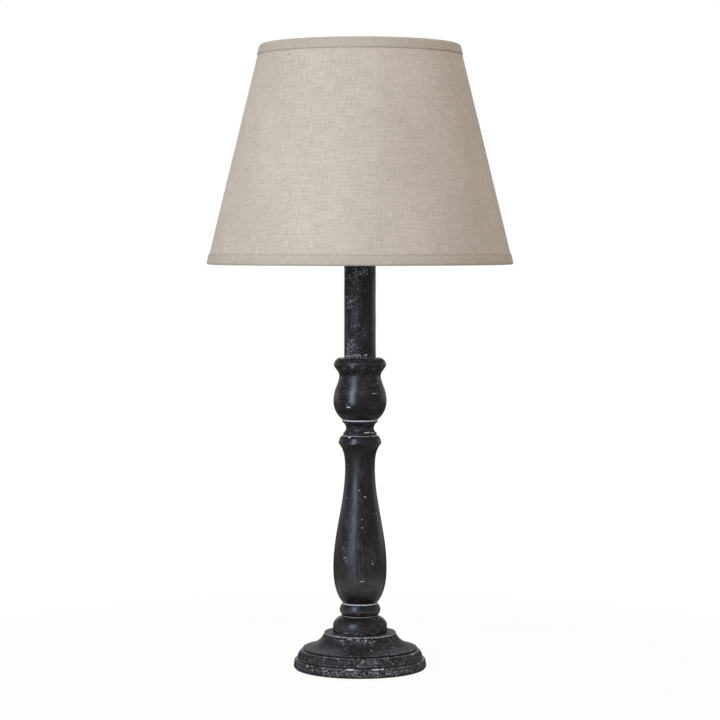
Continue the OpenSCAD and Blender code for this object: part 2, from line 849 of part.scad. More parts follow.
// Hollow glass, held in the cap by a short plug
module bulb_glass() {
    top = glass_rise_h + glass_top_h;
    color(porcelain) translate([0, 0, glass_z]) rotate_extrude() difference() {
        polygon(concat([[0, -glass_plug_h], [glass_plug_r, -glass_plug_h], [glass_plug_r, 0]], turned([
            [glass_neck_d / 2, 0, 90, 90],
            [glass_d / 2, glass_rise_h, 90, 90],
            [0, top, 180, 180]
        ])));
        polygon(concat([[0, 0], [glass_plug_r - glass_t, 0]], turned([
            [glass_neck_d / 2 - glass_t, glass_t, 90, 90],
            [glass_d / 2 - glass_t, glass_rise_h, 90, 90],
            [0, top - glass_t, 180, 180]
        ])));
    }
}

foot();
felt_pad();
cord_bush();
base_ring();
neck_bead();
baluster();
cove();
urn();
column();
threaded_tube();
foot_washer();
foot_nut();
top_washer();
top_nut();
holder_dome();
lock_screw();
contact_block();
screw_shell();
centre_contact();
terminal_screws();
holder_skirt();
seat_ring();
clamp_ring();
spider_ring();
spider_arms();
bottom_wire();
top_wire();
shade_lining();
shade_cover();
bottom_binding();
top_binding();
bulb_contact();
cap_insulator();
bulb_cap();
bulb_glass();
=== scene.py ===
"""Looks of a column table lamp: a turned stand in worn charcoal paint under a tapered linen shade.

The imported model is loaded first. Each section below then finishes one piece of the lamp, or a group
of like pieces, in the order in which the lamp is put together. Turned outlines are in millimetres,
as a turner would write them, and everything that Blender gets is in metres.
"""
import math

import bmesh
import bpy
import numpy as np
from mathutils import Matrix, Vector


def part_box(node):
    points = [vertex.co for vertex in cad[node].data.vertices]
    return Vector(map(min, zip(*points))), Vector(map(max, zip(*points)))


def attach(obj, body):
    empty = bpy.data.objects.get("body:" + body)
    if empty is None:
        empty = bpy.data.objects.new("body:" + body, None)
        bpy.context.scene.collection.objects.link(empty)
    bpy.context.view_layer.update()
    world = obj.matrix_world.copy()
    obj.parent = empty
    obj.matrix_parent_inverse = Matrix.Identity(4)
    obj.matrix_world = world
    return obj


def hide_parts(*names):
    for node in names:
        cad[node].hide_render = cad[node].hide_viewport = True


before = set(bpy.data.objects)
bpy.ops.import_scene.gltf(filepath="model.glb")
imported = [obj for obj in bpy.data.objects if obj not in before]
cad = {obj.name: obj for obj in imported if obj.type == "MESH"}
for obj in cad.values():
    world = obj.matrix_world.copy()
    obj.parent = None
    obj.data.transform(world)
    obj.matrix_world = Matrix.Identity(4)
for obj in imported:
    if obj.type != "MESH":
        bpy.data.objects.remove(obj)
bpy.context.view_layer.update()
mm = 0.001

# The camera stands in front of the lamp, a little above the shade's bottom edge, and looks slightly
# down. It sees the whole lamp in a square picture with a narrow white margin.
eye = Vector((0, -2.356, 0.4198))
aim = Vector((0, 0, 0.3034))
camera_data = bpy.data.cameras.new("camera")
camera_data.sensor_width = 36
camera_data.lens = 120.4
camera = bpy.data.objects.new("camera", camera_data)
camera.location = eye
camera.rotation_euler = (aim - eye).to_track_quat("-Z", "Y").to_euler()
bpy.context.scene.collection.objects.link(camera)
bpy.context.scene.camera = camera


# Foot: a turned disc of beech, primed, painted charcoal, rubbed back and washed with white that
# stays in the grooves and the open grain. It is bored for the tube and, at the back, for the cord.
tenon_r = 10
tenon_h = 7
glue_gap = 0.1
bore_r = 5.3
recess_r = 19
recess_h = 12
gouge_depth = 0.028
sanding_depth = 0.045
sharp_angle = math.radians(40)


def outline(stations, step=0.25):
    """Outline of a turned piece, from the bottom up. A station is a radius, a height and the headings
    on arrival and on leaving, where 0 is outwards and 90 is up. Between stations p and q the point at
    t is (2t^3 - 3t^2 + 1) p + (t^3 - 2t^2 + t) u + (3t^2 - 2t^3) q + (t^3 - t^2) v. Here u and v are
    as long as q - p and point along the two headings."""
    points = [np.array([stations[0][:2]], float)]
    for here, there in zip(stations[:-1], stations[1:]):
        p = np.array(here[:2], float)
        q = np.array(there[:2], float)
        reach = np.linalg.norm(q - p)
        leaving, arriving = np.radians([here[3], there[2]])
        u = reach * np.array([np.cos(leaving), np.sin(leaving)])
        v = reach * np.array([np.cos(arriving), np.sin(arriving)])
        t = np.linspace(0, 1, math.ceil(reach / step) + 1)[1:, None]
        start = (2 * t**3 - 3 * t**2 + 1) * p + (t**3 - 2 * t**2 + t) * u
        points.append(start + (3 * t**2 - 2 * t**3) * q + (t**3 - t**2) * v)
    return np.concatenate(points)


def walked(points, step):
    """The same line with points about a step apart, placed by the length walked along it."""
    way = np.concatenate([[0], np.cumsum(np.linalg.norm(np.diff(points, axis=0), axis=1))])
    stops = np.linspace(0, way[-1], max(2, round(way[-1] / step) + 1))
    return np.stack([np.interp(stops, way, points[:, i]) for i in (0, 1)], axis=1)


def eased(points, reach, closed=False):
    """Corners worn round: each point becomes the mean of its neighbours under a bell curve that is
    reach wide. An open line keeps both its ends, and a closed line runs on past its first point."""
    step = np.linalg.norm(points[1] - points[0])
    half = max(1, math.ceil(3 * reach / step))
    bell = np.exp(-0.5 * (np.arange(-half, half + 1) * step / reach) ** 2)
    bell /= bell.sum()
    if closed:
        longer = np.pad(points, ((half, half), (0, 0)), mode="wrap")
    else:
        longer = np.pad(points, ((half, half), (0, 0)), mode="reflect", reflect_type="odd")
    return np.stack([np.convolve(longer[:, i], bell, mode="valid") for i in (0, 1)], axis=1)


def gathered(points, step, bend):
    """Fewer points on the same line, a step apart where it is straight and one for each bend degrees
    where it turns: the line is walked by length / step + turn / bend."""
    along = np.diff(points, axis=0)
    heading = np.unwrap(np.arctan2(along[:, 1], along[:, 0]))
    turn = np.abs(np.degrees(np.gradient(heading)))
    cost = np.concatenate([[0], np.cumsum(np.linalg.norm(along, axis=1) / step + turn / bend)])
    stops = np.linspace(0, cost[-1], math.ceil(cost[-1]) + 1)
    return np.stack([np.interp(stops, cost, points[:, i]) for i in (0, 1)], axis=1)


def mesh_piece(name, points, close_rows, body, finish):
    """A piece from a grid of points in millimetres, rows x columns x 3. Columns run round and close
    on themselves. Rows close too, or end in a pole or an open edge. Each quad joins four neighbours,
    and the points of a pole are merged into one."""
    rows, columns = points.shape[:2]
    row = np.arange(rows if close_rows else rows - 1)[:, None]
    column = np.arange(columns)[None, :]
    above = (row + 1) % rows
    right = (column + 1) % columns
    below, over = row * columns, above * columns
    corners = [below + column, below + right, over + right, over + column]
    quads = np.stack(corners, axis=2).reshape(-1, 4)
    mesh = bpy.data.meshes.new(name)
    mesh.from_pydata(points.reshape(-1, 3) * mm, [], quads)
    if not close_rows:
        work = bmesh.new()
        work.from_mesh(mesh)
        bmesh.ops.remove_doubles(work, verts=work.verts, dist=1e-7)
        work.to_mesh(mesh)
        work.free()
    mesh.shade_smooth()
    mesh.set_sharp_from_angle(angle=sharp_angle)
    mesh.materials.append(finish)
    piece = bpy.data.objects.new(name, mesh)
    bpy.context.scene.collection.objects.link(piece)
    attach(piece, body)
    return piece


def spun(loop, columns, shape=None):
    """Points of a line of radius and height spun round Z, from the back and counter-clockwise. A turn
    of 0 faces the camera, and one of pi / 2 its right: x = r sin(turn), y = -r cos(turn). shape may
    change the radius at each point."""
    turn = np.linspace(-math.pi, math.pi, columns, endpoint=False)[None, :]
    radius = np.repeat(loop[:, :1], columns, axis=1)
    height = np.repeat(loop[:, 1:], columns, axis=1)
    if shape is not None:
        radius = shape(radius, height, turn)
    return np.stack([radius * np.sin(turn), -radius * np.cos(turn), height], axis=2)


def turned_wood(node, stations, seed, tenon=True, socket=True, columns=192):
    """A wooden section. Its outline is eased, then moved in and out by the marks of the gouge, which
    are rings a millimetre or two apart, and by the slow waves that sanding by hand leaves. The bore,
    the tenon and the socket close the loop."""
    floor_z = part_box(node)[0].z / mm + (tenon_h if tenon else 0)
    outer = gathered(eased(walked(outline(stations), 0.15), 0.3), 0.5, 9)
    top = outer[-1, 1]
    if socket:
        socket_floor = top - tenon_h - glue_gap
        inside = [(tenon_r + glue_gap, top), (tenon_r + glue_gap, socket_floor), (bore_r, socket_floor)]
    else:
        inside = [(bore_r, top)]
    if tenon:
        inside += [(bore_r, -tenon_h), (tenon_r, -tenon_h), (tenon_r, 0)]
    else:
        inside += [(bore_r, recess_h), (recess_r, recess_h), (recess_r, 0)]
    loop = np.concatenate([outer, np.array(inside, float)])
    loop[:, 1] += floor_z
    random = np.random.default_rng(seed)
    way = np.concatenate([[0], np.cumsum(np.linalg.norm(np.diff(outer, axis=0), axis=1))])
    ends = np.clip(np.minimum(way, way[-1] - way) / 2.5, 0, 1)
    sigh = random.uniform(0, 2 * math.pi, 12)
    gouge = sum(
        weight * np.sin(2 * math.pi * way / length + phase)
        for weight, length, phase in zip((0.5, 0.4, 0.35, 0.3), (1.31, 1.83, 2.9, 4.7), sigh)
    )
    shaved = np.zeros(len(loop))
    shaved[: len(outer)] = gouge_depth * gouge * ends
    sanded = np.zeros(len(loop))
    sanded[: len(outer)] = ends

    def shape(radius, height, turn):
        wave = np.sin(2 * turn + height / 9 + sigh[5]) * np.sin(height / 13 + sigh[6])
        wave += 0.6 * np.sin(3 * turn - height / 6 + sigh[7]) + 0.5 * np.sin(turn + sigh[8])
        return radius + shaved[:, None] + sanding_depth * sanded[:, None] * wave

    piece = mesh_piece(node + "_wood", spun(loop, columns, shape), True, "stand", charcoal_wash)
    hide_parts(node)
    return piece


def put(tree, kind, feeds=None, **settings):
    """A shader node. feeds gives each input a value or the output that feeds it."""
    node = tree.nodes.new("ShaderNode" + kind)
    for name, value in settings.items():
        setattr(node, name, value)
    for name, value in (feeds or {}).items():
        if isinstance(value, bpy.types.NodeSocket):
            tree.links.new(value, node.inputs[name])
        else:
            node.inputs[name].default_value = value
    return node


def reckon(tree, operation, *values, clamp=False):
    """The result of one sum on numbers."""
    return put(tree, "Math", dict(enumerate(values)), operation=operation, use_clamp=clamp).outputs[0]


def move(tree, operation, *values):
    """The result of one sum on positions."""
    return put(tree, "VectorMath", dict(enumerate(values)), operation=operation).outputs[0]


def noise(tree, where, scale, detail=2.0, roughness=0.5):
    """Soft random value about one half. Its grains are 1 / scale long."""
    feeds = {"Vector": where, "Scale": scale, "Detail": detail, "Roughness": roughness}
    return put(tree, "TexNoise", feeds).outputs[0]


def rising(tree, value, low, high):
    """0 below low, 1 above high and smooth between."""
    feeds = {"Value": value, "From Min": low, "From Max": high}
    return put(tree, "MapRange", feeds, interpolation_type="SMOOTHSTEP").outputs[0]


def mixed(tree, share, low, high):
    """Colour from low, at a share of 0, to high, at 1."""
    return put(tree, "Mix", {0: share, 6: low, 7: high}, data_type="RGBA").outputs[2]


def mixed_number(tree, share, low, high):
    """Number from low, at a share of 0, to high, at 1."""
    return put(tree, "Mix", {0: share, 2: low, 3: high}, data_type="FLOAT").outputs[0]


def raised(tree, height, distance, strength=1.0):
    """Normal of a surface that stands out by height times distance."""
    feeds = {"Height": height, "Distance": distance, "Strength": strength}
    return put(tree, "Bump", feeds).outputs[0]


def new_finish(name):
    """A material, the tree of its nodes and its shader."""
    finish = bpy.data.materials.new(name)
    finish.use_nodes = True
    return finish, finish.node_tree, finish.node_tree.nodes["Principled BSDF"]


def set_shader(tree, shader, **feeds):
    """Plain numbers and links of a shader. Underscores in the names stand for spaces."""
    for name, value in feeds.items():
        socket = shader.inputs[name.replace("_", " ")]
        if isinstance(value, bpy.types.NodeSocket):
            tree.links.new(value, socket)
        else:
            socket.default_value = value


wood_layers = ("wash_and_painted_light", "speckle", "rubbed_and_lit", "lathe")
dark_paint = (0.0022, 0.0020, 0.0026, 1)
light_paint = (0.0190, 0.0188, 0.0248, 1)
crease_shade_paint = (0.0022, 0.0021, 0.0023, 1)
rubbed_paint_and_highlight = (0.094, 0.099, 0.122, 1)
thin_wash = (0.45, 0.47, 0.51, 1)
thick_wash = (0.68, 0.71, 0.77, 1)
groove_wash = (0.56, 0.595, 0.65, 1)


def make_charcoal_wash():
    """Charcoal paint under a white wash. The wood's own attributes say where the wash was left in a
    groove or a nick (the wash layer, where below 0 it is a dark line of painted shade in a crease or
    under an edge), where it is speckled and dull (speckle), where pale threads are painted (the rubbed
    layer), partly for paint rubbed thin and partly as a painted highlight on the lit left front, and how
    much the streaks run round with the lathe instead of up with the grain (lathe)."""
    finish, tree, shader = new_finish("charcoal_wash")
    place = put(tree, "TexCoord").outputs["Object"]
    wash_and_painted_light, speckle, rubbed_and_lit, lathe = [
        put(tree, "Attribute", attribute_name=name).outputs["Fac"] for name in wood_layers
    ]
    outward = move(tree, "NORMALIZE", move(tree, "MULTIPLY", place, (1, 1, 0)))
    height = move(tree, "MULTIPLY", place, (0, 0, 1))
    round_way = move(tree, "MULTIPLY", outward, (1.7, 1.7, 0))
    round_way = move(tree, "MULTIPLY_ADD", height, (0, 0, 640), round_way)
    up_way = move(tree, "MULTIPLY", place, (560, 560, 19))
    streak = mixed_number(tree, lathe, noise(tree, up_way, 1, 4, 0.6), noise(tree, round_way, 1, 4, 0.6))
    cloud = noise(tree, place, 46, 4, 0.6)
    tone = reckon(tree, "ADD", reckon(tree, "MULTIPLY", streak, 0.66), reckon(tree, "MULTIPLY", cloud, 0.34))
    paint = mixed(tree, rising(tree, tone, 0.41, 0.66), dark_paint, light_paint)
    # Pale threads along the streaks: paint rubbed thin, and on the lit left front a painted highlight
    thread_way = move(tree, "MULTIPLY", outward, (3.1, 3.1, 0))
    thread_way = move(tree, "MULTIPLY_ADD", height, (0, 0, 830), thread_way)
    thread_up = move(tree, "MULTIPLY", place, (800, 800, 48))
    thread = mixed_number(tree, lathe, noise(tree, thread_up, 1, 3, 0.6), noise(tree, thread_way, 1, 3, 0.6))
    worn_and_lit = rising(tree, reckon(tree, "MULTIPLY_ADD", rubbed_and_lit, 0.34, noise(tree, place, 64, 3)), 0.52, 0.80)
    thread = reckon(tree, "MULTIPLY", rising(tree, thread, 0.44, 0.70), worn_and_lit)
    paint = mixed(tree, reckon(tree, "MULTIPLY", thread, 0.6), paint, rubbed_paint_and_highlight)
    # Fine flecks in clusters, where the wash dried on the raised grain
    flat_grain = noise(tree, move(tree, "MULTIPLY", place, (950, 950, 1700)), 1, 2, 0.6)
    tall_grain = noise(tree, move(tree, "MULTIPLY", place, (1500, 1500, 820)), 1, 2, 0.6)
    fine = mixed_number(tree, rising(tree, noise(tree, place, 170, 2), 0.44, 0.56), flat_grain, tall_grain)
    cluster = noise(tree, place, 105, 3, 0.55)
    least = reckon(tree, "MULTIPLY_ADD", speckle, -0.14, 0.68)
    fleck = rising(tree, reckon(tree, "SUBTRACT", fine, least), 0, 0.07)
    gate = rising(tree, reckon(tree, "MULTIPLY_ADD", speckle, 0.30, cluster), 0.58, 0.80)
    # Fainter dust of the same wash, more even and in more places, wiped off where flecks are thick
    dust = reckon(tree, "MULTIPLY", rising(tree, fine, 0.56, 0.64), 0.34)
    dust_gate = rising(tree, reckon(tree, "MULTIPLY_ADD", cluster, 0.6, speckle), 0.46, 1.05)
    dust = reckon(tree, "MULTIPLY", dust, dust_gate)
    dust = reckon(tree, "MULTIPLY", dust, reckon(tree, "MULTIPLY_ADD", speckle, -0.9, 1.3, clamp=True))
    # Hair-thin scratches are the places where a stretched noise crosses one half
    crossing = noise(tree, move(tree, "MULTIPLY", place, (360, 360, 190)), 1)
    near = reckon(tree, "ABSOLUTE", reckon(tree, "SUBTRACT", crossing, 0.5))
    scratch = reckon(tree, "SUBTRACT", 0.45, rising(tree, near, 0.004, 0.020), clamp=True)
    scratch_gate = reckon(tree, "MULTIPLY_ADD", speckle, 0.2, noise(tree, place, 150, 2))
    scratch_gate = rising(tree, scratch_gate, 0.66, 0.84)
    scratch = reckon(tree, "MULTIPLY", scratch, scratch_gate)
    marks = reckon(tree, "MAXIMUM", reckon(tree, "MULTIPLY", fleck, gate), scratch)
    marks = reckon(tree, "MAXIMUM", marks, dust)
    faded = mixed_number(tree, rising(tree, noise(tree, place, 330, 2), 0.38, 0.62), 0.25, 1.0)
    mark_color = mixed(tree, rising(tree, speckle, 0.7, 1.1), thin_wash, thick_wash)
    marked = mixed(tree, reckon(tree, "MULTIPLY", marks, faded), paint, mark_color)
    # Dark lines of painted shade in creases and under edges, where the wash layer is below 0
    marked = mixed(tree, rising(tree, wash_and_painted_light, -0.1, -0.7), marked, crease_shade_paint)
    # Wash left in grooves and nicks, broken up at its edges
    ragged = reckon(tree, "MULTIPLY", reckon(tree, "SUBTRACT", noise(tree, place, 520, 3, 0.7), 0.5), 1.2)
    left = rising(tree, reckon(tree, "ADD", wash_and_painted_light, ragged), 0.36, 0.66)
    left = reckon(tree, "MULTIPLY", left, rising(tree, wash_and_painted_light, 0.02, 0.2))
    color = mixed(tree, left, marked, groove_wash)
    dull = reckon(tree, "MAXIMUM", left, reckon(tree, "MULTIPLY", marks, 0.6))
    roughness = reckon(tree, "MULTIPLY_ADD", streak, 0.34, reckon(tree, "MULTIPLY_ADD", dull, 0.3, 0.08))
    roughness = reckon(tree, "MULTIPLY_ADD", speckle, 0.42, roughness)
    shine = reckon(tree, "MULTIPLY_ADD", speckle, -0.68, 0.84, clamp=True)
    # Seen from the side, the chalk in the paint scatters what a smooth coat would mirror, except on
    # ledges, which were sanded. Undersides took a thin, matt coat.
    slanted = rising(tree, put(tree, "LayerWeight").outputs["Facing"], 0.32, 0.75)
    normal = put(tree, "SeparateXYZ", {0: put(tree, "TexCoord").outputs["Normal"]}).outputs
    ledge = rising(tree, reckon(tree, "ABSOLUTE", normal[2]), 0.5, 0.9)
    slanted = reckon(tree, "MULTIPLY", slanted, reckon(tree, "SUBTRACT", 0.94, ledge, clamp=True))
    underside = reckon(tree, "MULTIPLY", rising(tree, normal[2], -0.04, -0.42), 0.8)
    slanted = reckon(tree, "MAXIMUM", slanted, underside)
    shine = reckon(tree, "MULTIPLY", shine, reckon(tree, "SUBTRACT", 1, slanted))
    relief = reckon(tree, "MULTIPLY_ADD", streak, 0.5, reckon(tree, "MULTIPLY", dull, -0.25))
    set_shader(
        tree, shader, Base_Color=color, Roughness=roughness, Normal=raised(tree, relief, 0.0002, 0.8),
        Specular_IOR_Level=shine, Specular_Tint=(0.94, 0.95, 1.0, 1),
    )
    return finish


charcoal_wash = make_charcoal_wash()


def paint_wood(piece, rings=(), nicks=(), patches=(), rubs=(), speckle=0.12, rubbed_and_lit=0.1, lathe=0.2):
    """Writes the wood's attributes from each point's height, turn and radius, all in millimetres and
    degrees. A ring is a height, a half height and a strength, which is below 0 for a dark line of painted
    shade. A nick is a turn, a height, a length, a width, a slant and a strength. A patch of specks or a
    rub is a turn, a height, their half sizes and a value; rubs on the lit left front are a painted
    highlight as well as wear. lathe is a number, or pairs of height and value between which it runs
    straight."""
    mesh = piece.data
    place = np.empty(len(mesh.vertices) * 3, np.float32)
    mesh.vertices.foreach_get("co", place)
    x, y, height = place.reshape(-1, 3).T / mm
    radius = np.hypot(x, y)
    turn = np.degrees(np.arctan2(x, -y))

    def away(turn_there):
        return (turn - turn_there + 180) % 360 - 180

    wash_and_painted_light = np.zeros(len(height))
    for ring_z, half_h, strength in rings:
        line = strength * np.clip(1.6 - np.abs(height - ring_z) / half_h, 0, 1)
        wash_and_painted_light = np.where(np.abs(line) > np.abs(wash_and_painted_light), line, wash_and_painted_light)
    for turn_there, z, length, width, slant, strength in nicks:
        across = np.radians(away(turn_there)) * radius
        rise = height - z
        c, s = math.cos(math.radians(slant)), math.sin(math.radians(slant))
        along, off = across * c + rise * s, rise * c - across * s
        mark = np.exp(-((2 * along / length) ** 4) - (2 * off / width) ** 2)
        wash_and_painted_light = np.where(strength * mark > 0.1, np.maximum(wash_and_painted_light, strength * mark), wash_and_painted_light)
    spots = np.full(len(height), float(speckle))
    rubbed_and_lit_layer = np.full(len(height), float(rubbed_and_lit))
    for layer, areas in ((spots, patches), (rubbed_and_lit_layer, rubs)):
        for turn_there, z, half_turn, half_h, much in areas:
            share = np.exp(-((away(turn_there) / half_turn) ** 2) - ((height - z) / half_h) ** 2)
            layer += (much - layer) * share
    wash_and_painted_light[radius < bore_r + 0.4] = 0
    runs = np.full(len(height), lathe) if np.isscalar(lathe) else np.interp(height, *zip(*lathe))
    for name, values in zip(wood_layers, (wash_and_painted_light, spots, rubbed_and_lit_layer, runs)):
        layer = mesh.attributes.new(name, "FLOAT", "POINT")
        layer.data.foreach_set("value", values.astype(np.float32))


foot = turned_wood("foot", [
    (64.1, 0, 0, 0),
    (65.3, 1.2, 90, 90),
    (64.6, 7.2, 96, 96),
    (62.8, 9, 165, 180),
    (61.7, 9, 180, 88),
    (56.4, 17.9, 162, 180),
    (55.8, 17.9, 180, 45),
    (56.5, 18.8, 90, 90),
    (55.6, 19.7, 172, 172),
    (34.9, 34.8, 104, 180),
], seed=11, tenon=False, columns=256)


def drill(piece, holes):
    """Cuts round holes along Y into the piece's back. A hole is a radius, a height and where it
    starts, all in millimetres, and runs out through the back."""
    past_rim = 90
    cutters = []
    for radius, height, start in holes:
        line = np.array([(0, start), (radius, start), (radius, past_rim), (0, past_rim)], float)
        points = spun(line, 48)
        points = np.stack([points[..., 0], points[..., 2], height - points[..., 1]], axis=2)[:, ::-1]
        cutters.append(mesh_piece("cutter", points, False, "stand", charcoal_wash))
        cut = piece.modifiers.new("hole", "BOOLEAN")
        cut.object = cutters[-1]
        cut.operation = "DIFFERENCE"
        cut.solver = "EXACT"
    ready = piece.evaluated_get(bpy.context.evaluated_depsgraph_get())
    piece.data = bpy.data.meshes.new_from_object(ready)
    piece.modifiers.clear()
    piece.data.set_sharp_from_angle(angle=sharp_angle)
    for cutter in cutters:
        bpy.data.objects.remove(cutter)


cord_z = 8.6
cord_hole_r = 4.5
bush_hole_r = 6.0
bush_seat_y = 61.1
drill(foot, [(cord_hole_r, cord_z, 15), (bush_hole_r, cord_z, bush_seat_y)])
paint_wood(
    foot, speckle=0.62, lathe=[(0, 0.9), (10, 0.75), (20, 0.35), (37, 0.55)],
    # Rings with a strength below 0 are dark lines of painted shade: in the creases at 9.9 and 19 mm, just
    # below the top rim at 33.4 mm and along the bottom edge.
    rings=[
        (8.9, 0.35, 0.42), (9.9, 0.3, -0.9), (11.2, 0.3, 0.42), (18.2, 0.3, 0.45), (19.0, 0.35, -0.9),
        (20.6, 0.3, 0.34), (34.9, 0.4, 0.60), (33.4, 0.3, -0.8), (0.4, 0.7, -0.7),
    ],
    # The three bright nicks at 8.9 mm on the front are painted highlights on the ledge's edge.
    nicks=[
        (-8, 8.9, 7.5, 1.3, 0, 1.2), (14, 8.9, 9.5, 1.1, 0, 1.0), (19.5, 8.9, 2.6, 1.5, 0, 1.25),
        (-52, 8.0, 2.8, 1.5, 10, 1.1), (-1, 11.6, 1.6, 1.6, 0, 0.8), (-4, 7.2, 1.6, 1.2, 0, 0.75),
        (-32, 6.0, 4, 1.2, -6, 0.55), (-16, 4.8, 3, 1.0, 0, 0.5), (13, 6.8, 3.5, 1.1, 8, 0.5),
        (62, 17.8, 3, 1.4, 14, 1.0), (-4, 33.2, 5, 0.9, 4, 0.75), (9, 32.6, 2.2, 1.2, 0, 0.95),
        (-16, 33.8, 6, 0.8, 3, 0.7), (-30, 32.0, 4, 0.8, 8, 0.6), (30, 34.0, 3, 0.9, -38, 0.7),
        (14, 24.2, 1.6, 1.4, 0, 0.85), (3, 16.0, 2, 1.3, 60, 0.8), (-35, 16.6, 4, 0.9, 0, 0.5),
        (-20, 17.0, 4, 0.9, -4, 0.5), (150, 10.4, 9, 1.1, 0, 0.9), (-150, 17, 5, 1.0, 4, 0.6),
        (110, 10.8, 5, 1.1, 0, 0.8), (170, 30, 5, 1.1, 10, 0.6),
    ],
    patches=[
        (0, 32.6, 44, 3.2, 1.02), (16, 15, 34, 3.5, 1.0), (0, 5, 70, 4, 0.98), (-64, 27, 26, 7, 0.25),
        (14, 27, 34, 5, 0.74), (-34, 14, 26, 3.5, 0.72), (0, 9.9, 720, 0.4, 0.0), (0, 19.0, 720, 0.5, 0.0),
    ],
    # The bluish rubs on the front are a painted highlight as well as wear.
    rubs=[
        (0, 5, 80, 4, 1.0), (10, 15, 50, 4, 0.4), (0, 32, 40, 4, 0.6), (-50, 24, 30, 6, 0.0),
        (180, 20, 60, 20, 0.5), (60, 29, 26, 7, 0.45), (180, 14, 60, 8, 0.8), (0, 36, 180, 1.2, 1.1),
        (0, 22.5, 50, 2.4, 0.35),
    ],
)


# Felt pad: a disc of black felt, a millimetre thick, glued under the foot so that it won't scratch
# the table. Its cut edge is a little uneven and its face is hairy.
felt_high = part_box("felt_pad")[1]
felt_r = felt_high.x / mm
felt_t = felt_high.z / mm


def make_felt():
    """Black felt: short fibres that lie every way, lighter where they stand up."""
    finish, tree, shader = new_finish("black_felt")
    place = put(tree, "TexCoord").outputs["Object"]
    fibre_a = noise(tree, move(tree, "MULTIPLY", place, (900, 2600, 1500)), 1, 3, 0.65)
    fibre_b = noise(tree, move(tree, "MULTIPLY", place, (2600, 900, 1500)), 1, 3, 0.65)
    fibre = reckon(tree, "MAXIMUM", fibre_a, fibre_b)
    tuft = noise(tree, place, 130, 3)
    tone = reckon(tree, "ADD", reckon(tree, "MULTIPLY", fibre, 0.7), reckon(tree, "MULTIPLY", tuft, 0.3))
    color = mixed(tree, rising(tree, tone, 0.42, 0.72), (0.006, 0.006, 0.0065, 1), (0.032, 0.032, 0.034, 1))
    set_shader(
        tree, shader, Base_Color=color, Roughness=0.95, Specular_IOR_Level=0.15, Sheen_Weight=0.25,
        Normal=raised(tree, fibre, 0.0003),
    )
    return finish


black_felt = make_felt()
felt_line = walked(np.array([
    (0, 0), (felt_r - 0.45, 0), (felt_r - 0.1, 0.2 * felt_t), (felt_r - 0.1, 0.8 * felt_t),
    (felt_r - 0.45, felt_t), (0, felt_t),
], float), 0.8)


def frayed(radius, height, turn):
    """The edge of a disc cut by hand: the radius less a few hundredths, by sines of the turn."""
    wander = np.sin(7 * turn + 1) + np.sin(19 * turn + 2) + np.sin(47 * turn)
    return np.maximum(radius - 0.05 * (1 + wander / 3) * (radius > felt_r - 2), 0)


felt = mesh_piece("felt_disc", spun(felt_line, 192, frayed), False, "stand", black_felt)
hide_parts("felt_pad")


# Small moulded pieces in black plastic: the bush in the foot that keeps the cord off the wood, and
# the dome and skirt of the lampholder. Handling leaves dust and fine rubs on all such pieces.
def make_handling():
    """Node group: marks of handling on hard, smooth pieces. Size is how many marks fit in a metre.
    Puts out dust, which gathers in clouds, and rubs, which are hair-thin and lie every way."""
    group = bpy.data.node_groups.new("handling", "ShaderNodeTree")
    group.interface.new_socket("Position", in_out="INPUT", socket_type="NodeSocketVector")
    group.interface.new_socket("Size", in_out="INPUT", socket_type="NodeSocketFloat")
    group.interface.new_socket("Dust", in_out="OUTPUT", socket_type="NodeSocketFloat")
    group.interface.new_socket("Rubs", in_out="OUTPUT", socket_type="NodeSocketFloat")
    given = group.nodes.new("NodeGroupInput")
    result = group.nodes.new("NodeGroupOutput")
    place = move(group, "SCALE", given.outputs["Position"])
    group.links.new(given.outputs["Size"], place.node.inputs["Scale"])
    dust = rising(group, noise(group, place, 1, 4, 0.6), 0.42, 0.75)
    crossing = noise(group, move(group, "MULTIPLY", place, (3, 9, 5)), 1, 2)
    near = reckon(group, "ABSOLUTE", reckon(group, "SUBTRACT", crossing, 0.5))
    rubs = reckon(group, "SUBTRACT", 1, rising(group, near, 0.004, 0.02))
    group.links.new(dust, result.inputs["Dust"])
    group.links.new(rubs, result.inputs["Rubs"])
    return group


handling = make_handling()


def hard_finish(name, color, dusty, roughness, size=120, grain=900, relief=0.00002, **plain):
    """A hard material with the marks of handling. Its colour goes to dusty under dust, its roughness
    varies with dust and rubs, and grain is how many bumps of its skin fit in a metre."""
    finish, tree, shader = new_finish(name)
    place = put(tree, "TexCoord").outputs["Object"]
    marks = put(tree, "Group", {}, node_tree=handling)
    tree.links.new(place, marks.inputs["Position"])
    marks.inputs["Size"].default_value = size
    dust = reckon(tree, "MULTIPLY", marks.outputs["Dust"], 0.35)
    rubs = marks.outputs["Rubs"]
    rough = reckon(tree, "MULTIPLY_ADD", rubs, 0.1, roughness)
    rough = reckon(tree, "MULTIPLY_ADD", dust, 0.5, rough)
    skin = reckon(tree, "ADD", noise(tree, place, grain, 2), reckon(tree, "MULTIPLY", rubs, -0.3))
    set_shader(
        tree, shader, Base_Color=mixed(tree, dust, color, dusty), Roughness=rough,
        Normal=raised(tree, skin, relief), **plain,
    )
    return finish


def show_cad(node, finish):
    """A CAD node that is shown as it is, in its own material."""
    cad[node].data.materials.clear()
    cad[node].data.materials.append(finish)


black_moulding = hard_finish(
    "black_moulding", (0.0105, 0.0105, 0.0115, 1), (0.06, 0.058, 0.055, 1), 0.34, Specular_IOR_Level=0.4)
for part in ("cord_bush", "holder_dome"):
    show_cad(part, black_moulding)


